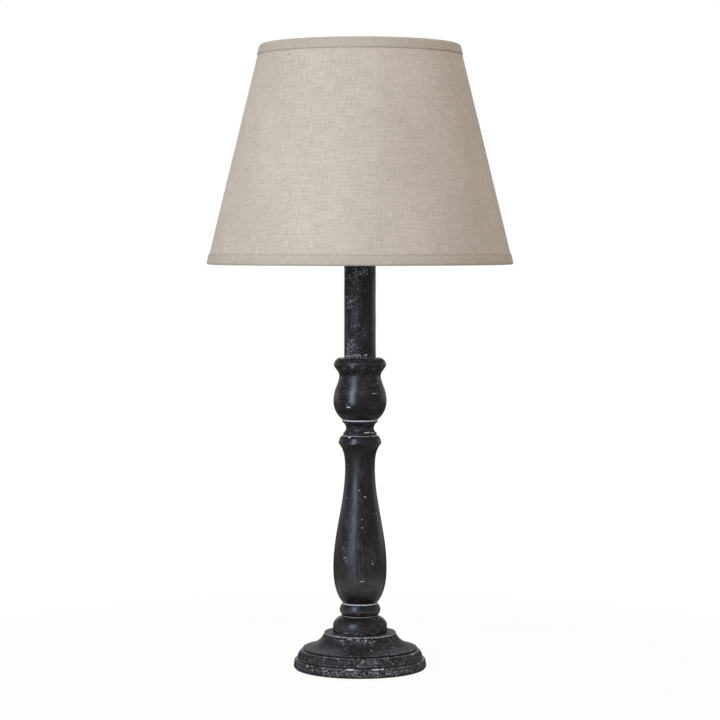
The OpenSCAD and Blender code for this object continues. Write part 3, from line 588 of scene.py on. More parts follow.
# Base ring: the first turned section on the foot, with a straight side and a soft shoulder. It has a
# little wash at its foot, and pale rubbed threads on its left that are partly wear and partly a painted
# highlight.
base_ring = turned_wood("base_ring", [
    (26, 0, 0, 0),
    (26.6, 0.6, 90, 90),
    (26.6, 6.4, 90, 90),
    (17.5, 15.8, 170, 180),
], seed=12)
paint_wood(
    base_ring, speckle=0.24, lathe=0.75, rings=[(35.9, 0.4, 0.4)],
    nicks=[(-30, 37.5, 3, 1.0, 15, 0.55), (22, 38, 2.5, 1.0, -10, 0.5), (4, 49.6, 2, 1.1, 0, 0.5)],
    patches=[(0, 37.5, 80, 2.8, 1.0), (44, 44, 30, 6, 0.76), (-50, 43, 20, 5, 0.6), (-24, 44, 20, 4, 0.1)],
    rubs=[(-22, 41, 30, 4, 0.6), (40, 44, 30, 6, 0.5)],
)


# Neck bead: a plain half round between the base ring and the baluster. White wash fills the groove
# above it and the one below.
neck_bead = turned_wood("neck_bead", [
    (17, 0, 90, 45),
    (20, 6.4, 90, 90),
    (17, 12.8, 135, 180),
], seed=13)
paint_wood(
    neck_bead, speckle=0.12, lathe=0.85, rings=[(51.9, 0.5, 0.75), (64.15, 0.45, 0.9)],
    patches=[(10, 54, 60, 2, 0.5)],
    # The rub on the lit left front is a painted highlight as well as wear.
    rubs=[(-18, 59, 26, 3, 0.8)],
)


# Baluster: the long vase-shaped section, sanded along its length, so its streaks run up with the
# grain. It has a sharp rim near the top and a few small knocks that took the white wash.
baluster = turned_wood("baluster", [
    (16.9, 0, 90, 50),
    (26.25, 35.4, 90, 90),
    (14.65, 133, 90, 90),
    (21.2, 157.5, 46, 100),
    (17, 165.3, 162, 180),
], seed=14)
paint_wood(
    baluster, speckle=0.06,
    lathe=[(64, 0.9), (84, 0.55), (92, 0.12), (196, 0.1), (210, 0.35), (222, 0.8), (230, 0.9)],
    rings=[(64.5, 0.4, 0.5), (229.6, 0.4, 0.62)],
    nicks=[
        (-2, 176.7, 1.4, 1.0, 60, 0.85), (17.6, 170.3, 3.4, 0.75, -12, 0.9), (6, 148.7, 1.4, 1.2, 0, 0.8),
        (23, 150.7, 1.2, 1.0, 0, 0.5), (5.5, 140.8, 1.4, 1.1, 80, 0.8), (53, 153.9, 1.4, 1.1, 40, 0.8),
        (58, 147, 2, 1.4, 60, 0.6), (28, 106.1, 7.4, 0.8, -76, 0.9), (5, 88.8, 5.2, 0.65, 6, 0.9),
        (-35, 111.5, 2.8, 1.1, 10, 0.7), (-31, 106.5, 1.4, 1.0, 0, 0.6), (-60, 201, 2.2, 1.2, 60, 0.7),
        (-6, 197.2, 4.0, 0.8, -40, 0.55), (-16, 198.5, 3.6, 0.8, 40, 0.5), (-48, 168.6, 2.8, 1.0, 84, 0.65),
        (-33, 228.6, 2.4, 1.8, 50, 1.1), (-66, 130, 2.2, 1.0, 50, 0.5), (40, 132, 1.2, 1.0, 0, 0.5),
        (120, 150, 4, 1.0, 70, 0.7), (170, 110, 3, 1.1, 20, 0.7), (-130, 180, 2.5, 1.0, -30, 0.7),
        (-150, 95, 4, 1.0, 75, 0.6), (95, 205, 2.5, 1.0, 10, 0.6),
    ],
    patches=[
        (-42, 128, 30, 24, 0.62), (-34, 106, 26, 8, 0.6), (-30, 160, 30, 22, 0.42), (-20, 196, 24, 9, 0.55),
        (150, 130, 40, 30, 0.4),
    ],
    # The rubs on the lit left front are a painted highlight as well as wear.
    rubs=[
        (-20, 116, 24, 26, 1.0), (-28, 158, 26, 26, 0.8), (-20, 190, 30, 20, 0.6), (-14, 78, 34, 12, 0.5),
        (-70, 120, 24, 60, 0.0), (40, 130, 30, 70, 0.0), (160, 120, 50, 50, 0.5),
    ],
)


# Cove: a short hollow between the baluster and the urn, with a fillet at each end. The upper fillet
# holds the thickest band of wash on the lamp, and the lower one only traces of it.
cove = turned_wood("cove", [
    (16.4, 0, 90, 90),
    (16.4, 2.3, 90, 150),
    (13.65, 6.9, 90, 90),
    (17.4, 12.9, 20, 90),
    (17.4, 15.5, 90, 180),
], seed=15)
paint_wood(
    cove, speckle=0.4, lathe=0.85, rings=[(244.6, 0.45, 1.1), (229.9, 0.3, 0.4), (232.0, 0.3, 0.25)],
    nicks=[
        (-12, 235.2, 3.4, 1.0, 0, 0.5), (26, 233.0, 8, 1.1, 2, 0.9), (50, 232.6, 4, 1.1, 0, 0.9),
        (-40, 232.6, 3, 1.0, 0, 0.5), (-30, 238.2, 6, 1.2, 0, 0.4), (20, 239, 7, 1.0, 0, 0.4),
        (150, 231, 7, 1.2, 0, 0.6), (-140, 238, 5, 1.2, 0, 0.5),
    ],
    patches=[(0, 238, 60, 5, 0.6)],
)


# Urn: the widest section, with a full belly, a narrower neck and a rolled lip. The turner's rings
# show through the paint right round it, and one knock on the left shows bright white.
urn = turned_wood("urn", [
    (17.3, 0, 90, 35),
    (26.1, 17.8, 90, 90),
    (24.25, 29.6, 109, 109),
    (20.45, 43.4, 90, 85),
    (21.29, 46.4, 78, 55),
    (25.28, 52.2, 62, 75),
    (25.7, 53.4, 90, 90),
    (20.6, 60.4, 165, 180),
], seed=16)
paint_wood(
    urn, speckle=0.08, lathe=0.97, rings=[(245.2, 0.3, 0.45), (305.5, 0.4, 0.35), (296.9, 0.25, 0.3)],
    nicks=[
        (-26, 258.6, 4.4, 1.3, -3, 1.25), (-31, 261.0, 3.8, 0.8, 4, 0.6), (34, 271.8, 8, 0.9, 0, 0.68),
        (52, 281, 1.6, 1.3, 20, 0.7), (-18, 297.0, 2.2, 1.1, 35, 0.85), (32, 295.4, 2.6, 1.1, 20, 0.6),
        (60, 296.6, 1.8, 1.2, 60, 0.8), (-70, 268, 2, 1.2, 30, 0.4), (140, 262, 5, 1.1, 0, 0.8),
        (-160, 275, 4, 1.0, 10, 0.7),
    ],
    patches=[
        (-22, 290, 30, 8, 0.4), (20, 293, 50, 5, 0.55), (40, 262, 30, 8, 0.42), (0, 304, 60, 3, 0.5),
    ],
    # The rubs on the lit left front are a painted highlight as well as wear.
    rubs=[
        (-12, 276, 26, 14, 1.0), (12, 280, 46, 11, 0.85), (-20, 300, 26, 3, 0.6), (-70, 270, 24, 20, 0.1),
        (60, 270, 24, 30, 0.2), (170, 275, 60, 16, 0.7),
    ],
)


# Column: a plain turned dowel that runs up into the shade. Its left front was rubbed back in
# patches, to which white wash clings, and wash is left at its foot, where it stands on the urn.
column = turned_wood("column", [
    (15.45, 0, 90, 90),
    (15.45, 98.6, 90, 90),
    (14.65, 99.4, 180, 180),
], seed=17, socket=False)
paint_wood(
    column, speckle=0.44, lathe=[(306, 0.55), (322, 0.5), (334, 0.2), (360, 0.3), (372, 0.12), (410, 0.06)],
    rings=[(305.9, 0.35, 0.45)],
    nicks=[
        (-62, 307.6, 4, 1.6, 10, 0.8), (-44, 307.4, 3, 1.6, 0, 0.8), (-20, 308.8, 5, 1.2, 4, 0.8),
        (-4, 309.2, 3, 1.1, 0, 0.7), (22, 309.3, 3.5, 1.2, 0, 0.8), (44, 307.6, 3, 1.3, 0, 0.5),
        (-36, 361.0, 3.4, 1.5, 30, 0.7), (-22, 360.0, 3.6, 1.0, 0, 0.7), (-48, 366, 4, 1.0, -30, 0.7),
        (14, 371.2, 4.6, 1.0, 4, 0.55), (-24, 378.6, 3.4, 1.1, 20, 0.6), (27, 388.0, 1.5, 1.3, 0, 1.0),
        (27, 391.4, 1.3, 1.2, 0, 0.85), (-60, 354.0, 2.8, 1.1, -45, 0.7), (-24, 352.8, 3, 0.9, 50, 0.6),
        (-56, 344, 2.4, 1.0, 45, 0.5), (-64, 391.5, 3, 1.2, 40, 0.75), (-14, 393, 2, 1.0, 0, 0.6),
        (-50, 329, 2.5, 0.9, 30, 0.5), (-40, 333, 3, 0.8, -50, 0.5), (-44, 319, 3, 0.9, 70, 0.7),
        (-52, 314, 3.4, 0.9, 60, 0.8), (-34, 317, 2.6, 0.9, -60, 0.6), (150, 340, 5, 1.1, 60, 0.6),
        (-150, 360, 4, 1.0, 20, 0.6), (100, 312, 5, 1.3, 0, 0.6), (180, 308, 8, 1.5, 0, 0.6),
    ],
    patches=[
        (-42, 362, 34, 12, 1.05), (-30, 384, 40, 12, 0.95), (-44, 318, 36, 14, 1.05), (-10, 308, 70, 3, 1.2),
        (0, 332, 34, 12, 0.85), (62, 350, 30, 60, 0.02), (6, 390, 44, 8, 1.0), (150, 330, 50, 14, 0.7),
    ],
    # The rubs on the lit left front are a painted highlight as well as wear.
    rubs=[
        (-40, 356, 30, 14, 0.5), (-36, 322, 30, 16, 0.6), (-14, 335, 26, 14, 0.45), (-20, 385, 40, 14, 0.15),
        (60, 350, 34, 60, 0.0), (160, 350, 60, 30, 0.5),
    ],
)


# Tube, washers and nuts: zinc-plated steel. The threaded tube is drawn tight by a nut in the foot's
# recess and one on top of the column, and the lock screw keeps the lampholder from turning on it.
zinc_plate = hard_finish(
    "zinc_plate", (0.50, 0.51, 0.52, 1), (0.34, 0.33, 0.31, 1), 0.30, size=260, grain=2400,
    relief=0.00001, Metallic=1.0)
for part in ("threaded_tube", "foot_washer", "foot_nut", "top_washer", "top_nut", "lock_screw"):
    show_cad(part, zinc_plate)


# Contact block, contact, terminal screws and screw shell: glazed porcelain under sprung brass. The
# shell's rolled thread has seven turns to the inch, and its sheet is the same thickness all over.
thread_pitch = 3.629
thread_depth = 1.0
glazed_porcelain = hard_finish(
    "glazed_porcelain", (0.74, 0.72, 0.67, 1), (0.52, 0.49, 0.44, 1), 0.16, size=150, grain=500)
sprung_brass = hard_finish(
    "sprung_brass", (0.62, 0.46, 0.20, 1), (0.30, 0.21, 0.09, 1), 0.26, size=300, grain=2600,
    relief=0.00001, Metallic=1.0)
show_cad("contact_block", glazed_porcelain)
show_cad("centre_contact", sprung_brass)
show_cad("terminal_screws", sprung_brass)


def screwed(pitch, depth, low, high, fade):
    """Shape of a rolled thread between two heights: the radius less depth (1 - cos(2 pi (height /
    pitch - turn / a full turn))) / 2, which dies away over the fade at both ends."""
    def shape(radius, height, turn):
        wave = (1 - np.cos(2 * math.pi * (height / pitch) - turn)) / 2
        here = np.clip((height - low) / fade, 0, 1) * np.clip((high - height) / fade, 0, 1)
        return radius - depth * wave * here
    return shape


def small_part(node, loop, body, finish, columns=128, step=0.4, ease=0.12, shape=None):
    """A small round piece from a closed loop of radius and height, with its corners eased."""
    line = walked(np.array(loop + loop[:1], float), step)[:-1]
    line = eased(line, ease, closed=True)
    piece = mesh_piece(node + "_made", spun(line, columns, shape), True, body, finish)
    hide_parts(node)
    return piece


shell_low, shell_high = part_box("screw_shell")
shell_r, shell_bottom, shell_top = shell_high.x / mm, shell_low.z / mm, shell_high.z / mm
shell_bore = shell_r - 0.4
small_part(
    "screw_shell",
    [(shell_bore, shell_bottom), (shell_r, shell_bottom), (shell_r, shell_top), (shell_bore, shell_top)],
    "stand", sprung_brass, step=0.3, ease=0.05,
    shape=screwed(thread_pitch, thread_depth * 0.3, shell_bottom + 1, shell_top - 1, fade=1.5))


# Skirt of the lampholder: a black moulding that screws onto the dome. A coarse thread for the two
# shade rings runs from its shoulder to its mouth.
skirt_low, skirt_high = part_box("holder_skirt")
skirt_z = skirt_low.z / mm
skirt_top = skirt_high.z / mm
skirt_r = 19.75
skirt_bore = 17.3
skirt_mouth = 15.2
shoulder_r = 21.8
ring_thread = screwed(pitch=2.5, depth=0.75, low=skirt_z + 8, high=skirt_top - 1.5, fade=1.5)


def threaded_outside(radius, height, turn):
    """The ring thread on the skirt's outside alone: its bore keeps its radius."""
    return np.where(radius > skirt_r - 0.85, ring_thread(radius, height, turn), radius)


small_part(
    "holder_skirt", [
        (skirt_bore, skirt_z), (skirt_r, skirt_z), (skirt_r, skirt_z + 4.6), (shoulder_r, skirt_z + 4.6),
        (shoulder_r, skirt_z + 7), (skirt_r, skirt_z + 7), (skirt_r, skirt_top - 1.1),
        (skirt_r - 1.1, skirt_top), (skirt_mouth, skirt_top), (skirt_mouth, skirt_top - 2.2),
        (skirt_bore, skirt_top - 2.2),
    ], "stand", black_moulding, columns=144, step=0.3, ease=0.15, shape=threaded_outside)


# Shade rings: two threaded rings of black plastic with notches for the fingers. The lower one is
# the seat of the shade's carrier, and the upper one clamps it down.
def notched(count, depth, width):
    """Shape of a ring's rim with finger notches: the radius less depth times a bell of the distance
    round the rim to the nearest of count notches."""
    def shape(radius, height, turn):
        pitch = 2 * math.pi / count
        off = ((turn + pitch / 2) % pitch - pitch / 2) * radius
        return radius - depth * np.exp(-((2 * off / width) ** 4)) * np.clip((radius - 22) / 2, 0, 1)
    return shape


ring_bore = 19.87
for part in ("seat_ring", "clamp_ring"):
    ring_low, ring_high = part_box(part)
    rim, low, high = ring_high.x / mm, ring_low.z / mm, ring_high.z / mm
    small_part(part, [(ring_bore, low), (rim, low), (rim, high), (ring_bore, high)], part,
               black_moulding, columns=480, step=0.5, ease=0.3,
               shape=notched(count=24, depth=1.1, width=2.3))


# Frame of the shade: steel wire and a pressed centre ring, welded and powder coated in white. Each
# arm ends in a blob of weld at the ring and at the bottom wire.
powder_coat = hard_finish(
    "powder_coat", (0.70, 0.69, 0.66, 1), (0.50, 0.47, 0.42, 1), 0.38, size=90, grain=1500, relief=0.00005)
for part in ("spider_ring", "spider_arms", "bottom_wire", "top_wire"):
    show_cad(part, powder_coat)
wire_r = 1.5
arm_turns = (180, 60, -60)
centre_low, centre_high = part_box("spider_ring")
centre_r = centre_high.x / mm
centre_z = (centre_low.z + centre_high.z) / 2 / mm
wire_low, wire_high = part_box("bottom_wire")
wire_ring_r = wire_high.x / mm - wire_r
wire_ring_z = (wire_low.z + wire_high.z) / 2 / mm


def weld(name, turn, radius, height, size):
    """A blob of weld: a ball whose point at longitude a and latitude b is size (cos a cos b, sin a
    cos b, sin b) on each axis, with a ripple of a twelfth. Its X lies along the arm, which points
    outwards at this turn."""
    b = np.linspace(-math.pi / 2, math.pi / 2, 17)[:, None]
    a = np.linspace(0, 2 * math.pi, 24, endpoint=False)[None, :]
    ripple = 1 + 0.08 * np.sin(3 * a + turn) * np.cos(b) * np.sin(4 * b)
    blob = np.stack([size[0] * np.cos(a) * np.cos(b) * ripple, size[1] * np.sin(a) * np.cos(b) * ripple,
                     size[2] * np.sin(b) * np.ones_like(a)], axis=2)
    c, s = math.cos(math.radians(turn)), math.sin(math.radians(turn))
    outward = blob[..., 0] + radius
    x, y = outward * s + blob[..., 1] * c, -outward * c + blob[..., 1] * s
    points = np.stack([x, y, blob[..., 2] + height], axis=2)
    piece = mesh_piece(name, points, False, "shade", powder_coat)


for number, turn in enumerate(arm_turns, 1):
    weld(f"ring_weld_{number}", turn, centre_r, centre_z, (2.6, 2.1, 1.7))
    weld(f"wire_weld_{number}", turn, wire_ring_r - 1.3, wire_ring_z + 0.3, (1.9, 2.3, 1.6))


# Lining: a white styrene sheet rolled into a cone, lapped and glued at the back. The linen is stuck
# to it before it is rolled, so both have the same flat shape, a piece of a ring.
shade_low, shade_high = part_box("shade_cover")
shade_bottom = shade_low.z / mm
shade_top = shade_high.z / mm
bottom_r = shade_high.x / mm


def measured_top():
    """Radius of the cover's outside at its top edge, from the frame."""
    place = np.array([v.co for v in cad["shade_cover"].data.vertices]) / mm
    at_top = place[:, 2] > shade_top - 0.01
    return np.hypot(place[at_top, 0], place[at_top, 1]).max()


top_r = measured_top()
cone_fall = (bottom_r - top_r) / (shade_top - shade_bottom)
cone_sine = cone_fall / math.hypot(1, cone_fall)
lap = 9.0
fold_room = 2.0


def wrapped(name, outer, thick, rows, columns, finish, swell=None):
    """A sheet wrapped round the cone with its ends lapped at the back. It starts half a lap before the
    back and runs once round plus the lap, and its last stretch rises over its first by its own
    thickness. It stops a little short of the edges, which leaves room for the folded tape. outer is
    how deep its outside lies under the cover's. Its UV is the flat sheet in metres: a point s from
    the cone's tip at the angle f = turn x sine is (s sin f, -s cos f)."""
    cone_r = (bottom_r + top_r) / 2
    half_lap = lap / 2 / cone_r
    rise = 4
    turn = np.linspace(-math.pi - half_lap, math.pi + half_lap, columns)
    # Four more columns, at shares of half a lap, where the last stretch rises
    turn = np.sort(np.append(turn, [math.pi - half_lap * k for k in (0.2, 0.6, 1.0, 1.4)]))
    height = np.linspace(shade_bottom + fold_room, shade_top - fold_room, rows)
    over = np.clip((turn - math.pi + half_lap) * cone_r, -rise, 0) / rise + 1
    lift = (thick + 0.05) * over**2 * (3 - 2 * over)
    t, h = np.meshgrid(turn, height)
    outside = bottom_r - (h - shade_bottom) * cone_fall - outer + lift[None, :]
    if swell is not None:
        outside = outside + swell(t, h)
    sides = [
        np.stack([radius * np.sin(t), -radius * np.cos(t), h], axis=2)
        for radius in (outside, outside - thick)
    ]
    count = len(turn)
    total = rows * count
    index = np.arange(total).reshape(rows, count)
    a, b, c, d = index[:-1, :-1], index[:-1, 1:], index[1:, 1:], index[1:, :-1]
    front = np.stack([a, b, c, d], axis=2).reshape(-1, 4)
    back = front[:, ::-1] + total
    edge = np.concatenate([index[0], index[1:, -1], index[-1, -2::-1], index[-2:0:-1, 0]])
    after = np.roll(edge, -1)
    rim = np.stack([edge, edge + total, after + total, after], axis=1)
    mesh = bpy.data.meshes.new(name)
    points = np.concatenate([side.reshape(-1, 3) for side in sides]) * mm
    mesh.from_pydata(points, [], np.concatenate([front, back, rim]))
    tip = (outside / cone_sine) * mm
    flat = np.stack([tip * np.sin(t * cone_sine), -tip * np.cos(t * cone_sine)], axis=2).reshape(-1, 2)
    flat = np.concatenate([flat, flat])
    corner = np.empty(len(mesh.loops), np.int32)
    mesh.loops.foreach_get("vertex_index", corner)
    mesh.uv_layers.new(name="flat_sheet").data.foreach_set("uv", flat[corner].astype(np.float32).ravel())
    mesh.shade_smooth()
    mesh.set_sharp_from_angle(angle=sharp_angle)
    mesh.materials.append(finish)
    piece = bpy.data.objects.new(name, mesh)
    bpy.context.scene.collection.objects.link(piece)
    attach(piece, "shade")
    return piece


def make_styrene():
    """White styrene: smooth, a little yellowed, with the faint print of the linen glued behind it."""
    finish, tree, shader = new_finish("white_styrene")
    place = put(tree, "TexCoord").outputs["Object"]
    cloud = noise(tree, place, 22, 4, 0.6)
    print_through = noise(tree, move(tree, "MULTIPLY", place, (700, 700, 90)), 1, 2)
    color = mixed(tree, rising(tree, cloud, 0.35, 0.7), (0.72, 0.70, 0.64, 1), (0.80, 0.785, 0.735, 1))
    rough = reckon(tree, "MULTIPLY_ADD", print_through, 0.18, 0.36)
    set_shader(tree, shader, Base_Color=color, Roughness=rough, Specular_IOR_Level=0.4,
               Normal=raised(tree, print_through, 0.00006))
    return finish


cover_t = 0.7
lining_t = 0.6
lining = wrapped(
    "rolled_lining", cover_t + 0.02, lining_t - 0.05, rows=24, columns=257, finish=make_styrene())
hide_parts("shade_lining")


# Cover: natural linen in plain weave. It was stuck on flat, so its threads stay straight in the flat
# sheet and run in wide arcs on the cone, and thick slubs, knots and dark specks of flax show.
def make_weave():
    """Node group: plain weave. Sheet is a position in the flat cloth in metres, Threads is how many
    lie in a metre. Warp threads stand at u, weft threads at v. With a = sin(pi u Threads) and b =
    sin(pi v Threads), the warp's height is |a| (1 + ab / 2) and the weft's |b| (1 - ab / 2), and the
    higher one shows. Each thread has its own shade, which changes slowly along it, and thickens in
    slubs. Puts out the shade, the height, and masks of slubs and of specks."""
    group = bpy.data.node_groups.new("plain_weave", "ShaderNodeTree")
    group.interface.new_socket("Sheet", in_out="INPUT", socket_type="NodeSocketVector")
    group.interface.new_socket("Threads", in_out="INPUT", socket_type="NodeSocketFloat")
    for name in ("Shade", "Height", "Slub", "Speck"):
        group.interface.new_socket(name, in_out="OUTPUT", socket_type="NodeSocketFloat")
    given = group.nodes.new("NodeGroupInput")
    result = group.nodes.new("NodeGroupOutput")
    sheet = given.outputs["Sheet"]
    threads = given.outputs["Threads"]
    # Threads wander by a part of their width
    wander = noise(group, move(group, "MULTIPLY", sheet, (55, 55, 1)), 1)
    drift = reckon(group, "MULTIPLY", reckon(group, "SUBTRACT", wander, 0.5), 0.0022)
    split = put(group, "SeparateXYZ", {0: sheet})
    u = reckon(group, "ADD", split.outputs[0], drift)
    v = reckon(group, "SUBTRACT", split.outputs[1], drift)
    turns = reckon(group, "MULTIPLY", threads, math.pi)
    a = reckon(group, "SINE", reckon(group, "MULTIPLY", u, turns))
    b = reckon(group, "SINE", reckon(group, "MULTIPLY", v, turns))
    ab = reckon(group, "MULTIPLY", a, b)
    warp_rise = reckon(group, "MULTIPLY_ADD", ab, 0.5, 1)
    weft_rise = reckon(group, "MULTIPLY_ADD", ab, -0.5, 1)
    warp = reckon(group, "MULTIPLY", reckon(group, "ABSOLUTE", a), warp_rise)
    weft = reckon(group, "MULTIPLY", reckon(group, "ABSOLUTE", b), weft_rise)
    wavy = put(group, "CombineXYZ", {0: u, 1: v}).outputs[0]
    warp_shade = noise(group, move(group, "MULTIPLY", wavy, (1000, 62, 1)), 1, 3, 0.62)
    weft_shade = noise(group, move(group, "MULTIPLY", wavy, (46, 1000, 1)), 1, 3, 0.62)
    on_top = rising(group, reckon(group, "SUBTRACT", weft, warp), -0.25, 0.25)
    shade = mixed_number(group, on_top, warp_shade, weft_shade)
    both = reckon(group, "MULTIPLY_ADD", warp_shade, 0.42, reckon(group, "MULTIPLY", weft_shade, 0.58))
    shade = mixed_number(group, 0.5, shade, both)
    long_warp = noise(group, move(group, "MULTIPLY", wavy, (980, 85, 3)), 1, 1)
    long_weft = noise(group, move(group, "MULTIPLY", wavy, (58, 900, 5)), 1, 1)
    warp_slub = rising(group, long_warp, 0.68, 0.78)
    slub = reckon(group, "MAXIMUM", warp_slub, rising(group, long_weft, 0.66, 0.77))
    speck = rising(group, noise(group, move(group, "MULTIPLY", sheet, (360, 560, 1)), 1, 1), 0.715, 0.765)
    height = reckon(group, "MAXIMUM", warp, weft)
    height = reckon(group, "ADD", height, reckon(group, "MULTIPLY", slub, 0.5))
    for name, value in (("Shade", shade), ("Height", height), ("Slub", slub), ("Speck", speck)):
        group.links.new(value, result.inputs[name])
    return group


plain_weave = make_weave()


def make_linen(name, dark, light, slub_color, speck_color, uv_name, threads, tilt=0.0, relief=0.00022):
    """Linen from the plain weave. dark and light are its threads' range, and tilt turns the weave in
    the flat sheet, in degrees, as on tape cut on the bias. One attribute says where it is painted
    darker, as painted shade along the edges of a tape."""
    finish, tree, shader = new_finish(name)
    sheet = put(tree, "UVMap", uv_map=uv_name).outputs[0]
    turned = put(tree, "Mapping", {"Vector": sheet, "Rotation": (0, 0, math.radians(tilt))}).outputs[0]
    weave = put(tree, "Group", {}, node_tree=plain_weave)
    tree.links.new(turned, weave.inputs["Sheet"])
    weave.inputs["Threads"].default_value = threads
    cloud = noise(tree, move(tree, "MULTIPLY", turned, (14, 10, 1)), 1, 3, 0.55)
    shade = reckon(tree, "MULTIPLY_ADD", cloud, 0.2, reckon(tree, "MULTIPLY", weave.outputs["Shade"], 0.8))
    color = mixed(tree, rising(tree, shade, 0.30, 0.70), dark, light)
    # Gaps between the threads are painted darker: painted shade between the threads
    thread_gap_shade = rising(tree, weave.outputs["Height"], 0.10, 0.75)
    color = mixed(tree, thread_gap_shade, tuple(c * 0.68 for c in dark[:3]) + (1,), color)
    color = mixed(tree, reckon(tree, "MULTIPLY", weave.outputs["Slub"], 0.4), color, slub_color)
    color = mixed(tree, reckon(tree, "MULTIPLY", weave.outputs["Speck"], 0.8), color, speck_color)
    # Painted shade along a tape's edges, from the tape's own attribute
    glue = put(tree, "Attribute", attribute_name="glue").outputs["Fac"]
    color = mixed(tree, reckon(tree, "MULTIPLY", glue, 0.5), color, tuple(c * 0.5 for c in dark[:3]) + (1,))
    rough = reckon(tree, "MULTIPLY_ADD", weave.outputs["Shade"], 0.12, 0.80)
    set_shader(tree, shader, Base_Color=color, Roughness=rough, Specular_IOR_Level=0.18, Sheen_Weight=0.08,
               Sheen_Roughness=0.5, Normal=raised(tree, weave.outputs["Height"], relief, 0.85))
    return finish


natural_linen = make_linen(
    "natural_linen", (0.490, 0.438, 0.382, 1), (0.740, 0.678, 0.608, 1), (0.80, 0.755, 0.69, 1),
    (0.20, 0.105, 0.070, 1), "flat_sheet", 1000)


def taut(turn, height):
    """How far the cloth stands off its lining: slow waves of a tenth of a millimetre where the glue
    is thick, from the product of two sines."""
    return 0.06 * (1 + np.sin(5 * turn + height / 31) * np.sin(height / 23 + 2 * np.cos(turn)))


cover = wrapped(
    "linen_cover", 0.0, cover_t - 0.02, rows=56, columns=513, finish=natural_linen, swell=taut)
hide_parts("shade_cover")


# Bindings: strips of greener linen tape, cut on the bias, folded over each edge of the shade and
# round the wire inside it. The tape's own edges are turned in, so they are thick and soft.
binding_low, binding_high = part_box("bottom_binding")
tape_t = binding_high.x / mm - bottom_r
tape_h = (binding_high.z - binding_low.z) / mm
tape_lap = 7
tape_linen = make_linen(
    "tape_linen", (0.460, 0.420, 0.355, 1), (0.622, 0.577, 0.500, 1), (0.68, 0.62, 0.55, 1),
    (0.19, 0.13, 0.09, 1), "tape", 1500, tilt=45, relief=0.00014)


def tape_path(side, edge_z, ring_z):
    """Middle line of the tape in radius and height, from its outer edge over the shade's rim to its
    inner edge. side is -1 at the bottom and 1 at the top. Between the two straight legs it is the arc
    that clears the rim and the wire: ring centre + (wire radius + half a tape) (cos a, sin a)."""
    half = tape_t / 2
    ring_r = bottom_r - (ring_z - shade_bottom) * cone_fall - cover_t - lining_t - wire_r - 0.1

    def cone(z, depth):
        return bottom_r - (z - shade_bottom) * cone_fall - depth

    far = edge_z - side * (tape_h - half)
    near = edge_z - side * 2.4
    outer_leg = [(cone(far, -half), far), (cone(near, -half), near)]
    corner = [(cone(edge_z, 0.25), edge_z - side * 1.0), (cone(edge_z, 1.5), edge_z - side * half)]
    arc = []
    for angle in np.radians(np.linspace(90, 215, 9)):
        reach = wire_r + half
        arc.append((ring_r + reach * math.cos(angle), ring_z + side * reach * math.sin(angle)))
    inner = cone(0, cover_t + lining_t + half) - cone(0, 0)
    leg_z = ring_z - side * (wire_r + 1.2)
    inner_leg = [(cone(leg_z, 0) + inner - 0.25, leg_z), (cone(far, 0) + inner - 0.05, far)]
    return np.array(outer_leg + corner + arc + inner_leg, float)


def tape(name, node, side, edge_z, ring_z):
    """A tape along its path, spun round. Each point of the path spreads half a tape to both sides
    along its normal, and the two edges close in half rounds. Its UV is the flat tape in metres: the
    way round by the way across. The tape laps over itself at the back, and its edges waver."""
    path = eased(walked(tape_path(side, edge_z, ring_z), 0.22), 0.3)
    path = gathered(path, 0.9, 14)
    along = np.gradient(path, axis=0)
    along /= np.linalg.norm(along, axis=1)[:, None]
    normal = np.stack([-along[:, 1], along[:, 0]], axis=1)
    half = tape_t / 2 * 0.96
    cap = np.radians(np.linspace(-90, 90, 7))[1:-1, None]
    last = path[-1] + half * (np.sin(cap) * normal[-1] + np.cos(cap) * along[-1])
    first = path[0] + half * (-np.sin(cap) * normal[0] - np.cos(cap) * along[0])
    loop = np.concatenate([path - half * normal, last, (path + half * normal)[::-1], first])
    way = np.concatenate([[0], np.cumsum(np.linalg.norm(np.diff(loop, axis=0), axis=1))])
    if side < 0:
        loop, way = loop[::-1], way[::-1]
    columns = 384
    phase = 1.7 * side

    def shape(radius, height, turn):
        from_rim = np.abs(height - edge_z) / tape_h
        waver = np.sin(9 * turn + phase) + np.sin(23 * turn + 2 * phase) + np.sin(41 * turn)
        behind = (math.pi - np.abs(turn)) * radius / tape_lap
        lapped = np.clip(2 - behind, 0, 1) * (from_rim > 0.15)
        outside = radius > bottom_r - (height - shade_bottom) * cone_fall
        return radius + outside * (0.03 * waver * from_rim + 0.25 * lapped)

    points = spun(loop, columns, shape)
    ripple = np.sin(np.linspace(-math.pi, math.pi, columns, endpoint=False) * 31 + phase)
    share = np.clip(np.abs(loop[:, 1] - edge_z) / tape_h - 0.5, 0, 0.5) * 2
    points[..., 2] += 0.09 * share[:, None] * ripple[None, :]
    piece = mesh_piece(name, points, True, "shade", tape_linen)
    mesh = piece.data
    # Painted shade along both edges of the tape, away from the rim
    glue = np.clip(np.abs(loop[:, 1] - edge_z) / tape_h * 12 - 11, 0, 1)
    layer = mesh.attributes.new("glue", "FLOAT", "POINT")
    layer.data.foreach_set("value", np.repeat(glue, columns).astype(np.float32))
    # The corners of a face lie at its row and column or at the next ones, also where the grid closes
    across = np.append(way, way[-1] + np.linalg.norm(loop[0] - loop[-1])) * mm
    around = np.arange(columns + 1) / columns * 2 * math.pi * bottom_r * mm
    flat = np.empty((len(loop), columns, 4, 2))
    flat[..., 0] = np.stack([around[:-1], around[1:], around[1:], around[:-1]], axis=1)[None, :]
    flat[..., 1] = np.stack([across[:-1], across[:-1], across[1:], across[1:]], axis=1)[:, None]
    mesh.uv_layers.new(name="tape").data.foreach_set("uv", flat.astype(np.float32).ravel())
    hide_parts(node)
    return piece


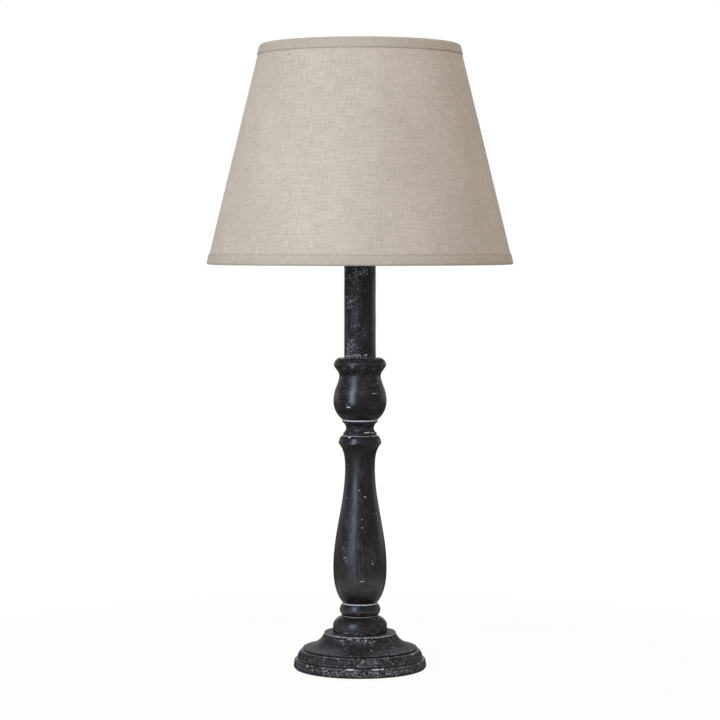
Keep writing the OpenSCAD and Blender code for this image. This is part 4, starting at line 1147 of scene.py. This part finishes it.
top_wire_low, top_wire_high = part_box("top_wire")
bottom_tape = tape("bottom_tape", "bottom_binding", -1, binding_low.z / mm, wire_ring_z)
top_tape = tape("top_tape", "top_binding", 1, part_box("top_binding")[1].z / mm,
                (top_wire_low.z + top_wire_high.z) / 2 / mm)


# Bulb: an opal glass bulb in a screw cap of nickel-plated brass, with a black glass insulator and a
# soldered contact. It isn't lit.
solder = hard_finish("solder", (0.46, 0.46, 0.45, 1), (0.26, 0.25, 0.24, 1), 0.34, size=500, grain=1400,
                     relief=0.00006, Metallic=1.0)
black_glass = hard_finish("black_glass", (0.008, 0.008, 0.009, 1), (0.05, 0.05, 0.05, 1), 0.12)
nickel_plate = hard_finish("nickel_plate", (0.62, 0.60, 0.56, 1), (0.40, 0.38, 0.34, 1), 0.22, size=300,
                           grain=2600, relief=0.00001, Metallic=1.0)
opal_glass = hard_finish("opal_glass", (0.80, 0.80, 0.78, 1), (0.70, 0.68, 0.64, 1), 0.22, size=40,
                         grain=60, relief=0.00003, Coat_Weight=0.4, Coat_Roughness=0.08)
show_cad("bulb_contact", solder)
show_cad("cap_insulator", black_glass)
cap_low, cap_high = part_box("bulb_cap")
cap_r, cap_z, cap_top = cap_high.x / mm, cap_low.z / mm, cap_high.z / mm
small_part(
    "bulb_cap", [
        (cap_r - 1.9, cap_z), (cap_r - 1.5, cap_z), (cap_r, cap_z + 1.5), (cap_r, cap_top),
        (cap_r - 0.4, cap_top), (cap_r - 0.4, cap_z + 1.6),
    ], "bulb", nickel_plate, step=0.3, ease=0.08,
    shape=screwed(thread_pitch, thread_depth, cap_z + 1.2, cap_top - 4, fade=1.5))
stem_r = 12.7
globe_r = 30
in_cap = 4
glass_line = np.concatenate([
    np.array([(0, -in_cap), (stem_r, -in_cap)], float),
    outline([(stem_r, 0, 90, 60), (14.2, 1.2, 90, 90), (globe_r, 49, 90, 90), (0, 81, 180, 180)], 0.8),
])
glass_line[:, 1] += cap_top
glass_line = eased(walked(glass_line, 0.8), 0.5)
glass_line[0, 0] = glass_line[-1, 0] = 0
bulb = mesh_piece("opal_bulb", spun(glass_line, 128), False, "bulb", opal_glass)
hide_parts("bulb_glass")


# Floor and light: a white floor that keeps a soft shadow near the foot and fades into a white
# background, a narrow cool softbox on the left, broad ones high in front, behind and overhead, and a
# warm room.
def make_floor():
    """White ground. Light finds white paper round the lamp and a grey floor further out. The camera
    sees it mixed with plain white, more so further from the lamp."""
    finish = bpy.data.materials.new("white_ground")
    finish.use_nodes = True
    tree = finish.node_tree
    tree.nodes.clear()
    place = put(tree, "TexCoord").outputs["Object"]
    from_lamp = put(tree, "VectorMath", {0: place}, operation="LENGTH").outputs["Value"]
    faint = noise(tree, place, 3, 2)
    paper = mixed(tree, faint, (0.93, 0.93, 0.93, 1), (0.96, 0.96, 0.96, 1))
    color = mixed(tree, rising(tree, from_lamp, 0.13, 0.50), paper, (0.26, 0.26, 0.27, 1))
    paint = put(tree, "BsdfDiffuse", {"Color": color}).outputs[0]
    plain = put(tree, "Emission", {"Color": (1, 1, 1, 1), "Strength": 1.0}).outputs[0]
    fade = rising(tree, from_lamp, 0.08, 0.60)
    seen = mixed_number(tree, fade, 0.92, 1.0)
    camera_ray = put(tree, "LightPath").outputs["Is Camera Ray"]
    share = reckon(tree, "MULTIPLY", seen, camera_ray)
    ground = put(tree, "MixShader", {0: share, 1: paint, 2: plain}).outputs[0]
    put(tree, "OutputMaterial", {"Surface": ground})
    return finish


floor_half = 3.0
floor_mesh = bpy.data.meshes.new("floor")
floor_mesh.from_pydata(
    [(-floor_half, -floor_half, 0), (floor_half, -floor_half, 0), (floor_half, floor_half, 0),
     (-floor_half, floor_half, 0)], [], [(0, 1, 2, 3)])
floor_mesh.materials.append(make_floor())
floor = bpy.data.objects.new("floor", floor_mesh)
bpy.context.scene.collection.objects.link(floor)


lamp_middle = Vector((0, 0, 0.32))


def softbox(name, turn, distance, height, size, power, color, mirrored=True):
    """A softbox at a turn round the lamp, faced to its middle. power is in watts. mirrored says
    whether a shiny surface shows it."""
    data = bpy.data.lights.new(name, "AREA")
    data.shape = "RECTANGLE"
    data.size, data.size_y = size
    data.energy = power
    data.color = color
    light = bpy.data.objects.new(name, data)
    angle = math.radians(turn)
    light.location = (distance * math.sin(angle), -distance * math.cos(angle), height)
    light.rotation_euler = (lamp_middle - light.location).to_track_quat("-Z", "Y").to_euler()
    light.visible_glossy = mirrored
    bpy.context.scene.collection.objects.link(light)


softbox("key", turn=-35, distance=1.1, height=0.62, size=(0.34, 1.2), power=6.6, color=(0.76, 0.86, 1))
softbox("fill", turn=36, distance=1.9, height=1.7, size=(2.0, 1.6), power=9.4, color=(0.80, 0.89, 1),
        mirrored=False)
softbox("back", turn=180, distance=1.4, height=1.6, size=(1.2, 1.0), power=7, color=(0.86, 0.93, 1))
softbox("top", turn=0, distance=0.35, height=2.2, size=(1.2, 1.2), power=1.5, color=(1, 1, 1))


def make_room():
    """World: white to the camera. What is reflected or seen through glass is white where the backdrop
    stands, behind the lamp, and a neutral studio elsewhere. Light comes from warm walls, of which the
    one on the right is darker, and from a ceiling that is darker than most of them."""
    world = bpy.data.worlds.new("room")
    bpy.context.scene.world = world
    world.use_nodes = True
    tree = world.node_tree
    tree.nodes.clear()
    path = put(tree, "LightPath").outputs
    way = put(tree, "SeparateXYZ", {0: put(tree, "TexCoord").outputs["Generated"]}).outputs
    upward = way[2]
    backdrop = reckon(tree, "SUBTRACT", 1, rising(tree, upward, 0.05, 0.45))
    backdrop = reckon(tree, "MULTIPLY", backdrop, rising(tree, way[1], 0.0, 0.8))
    studio = mixed(tree, rising(tree, upward, 0.1, 0.9), (0.23, 0.23, 0.245, 1), (0.17, 0.17, 0.18, 1))
    studio = mixed(tree, backdrop, studio, (1, 1, 1, 1))
    room = mixed(tree, rising(tree, upward, 0.1, 0.9), (0.88, 0.78, 0.66, 1), (0.60, 0.535, 0.455, 1))
    room = mixed(tree, rising(tree, way[0], 0.3, 1.0), room, (0.68, 0.60, 0.50, 1))
    reflected = reckon(tree, "ADD", path["Is Glossy Ray"], path["Is Transmission Ray"], clamp=True)
    color = mixed(tree, path["Is Camera Ray"], mixed(tree, reflected, room, studio), (1, 1, 1, 1))
    background = put(tree, "Background", {"Color": color, "Strength": 1.0}).outputs[0]
    put(tree, "OutputWorld", {"Surface": background})


make_room()
bpy.context.scene.view_settings.view_transform = "Standard"
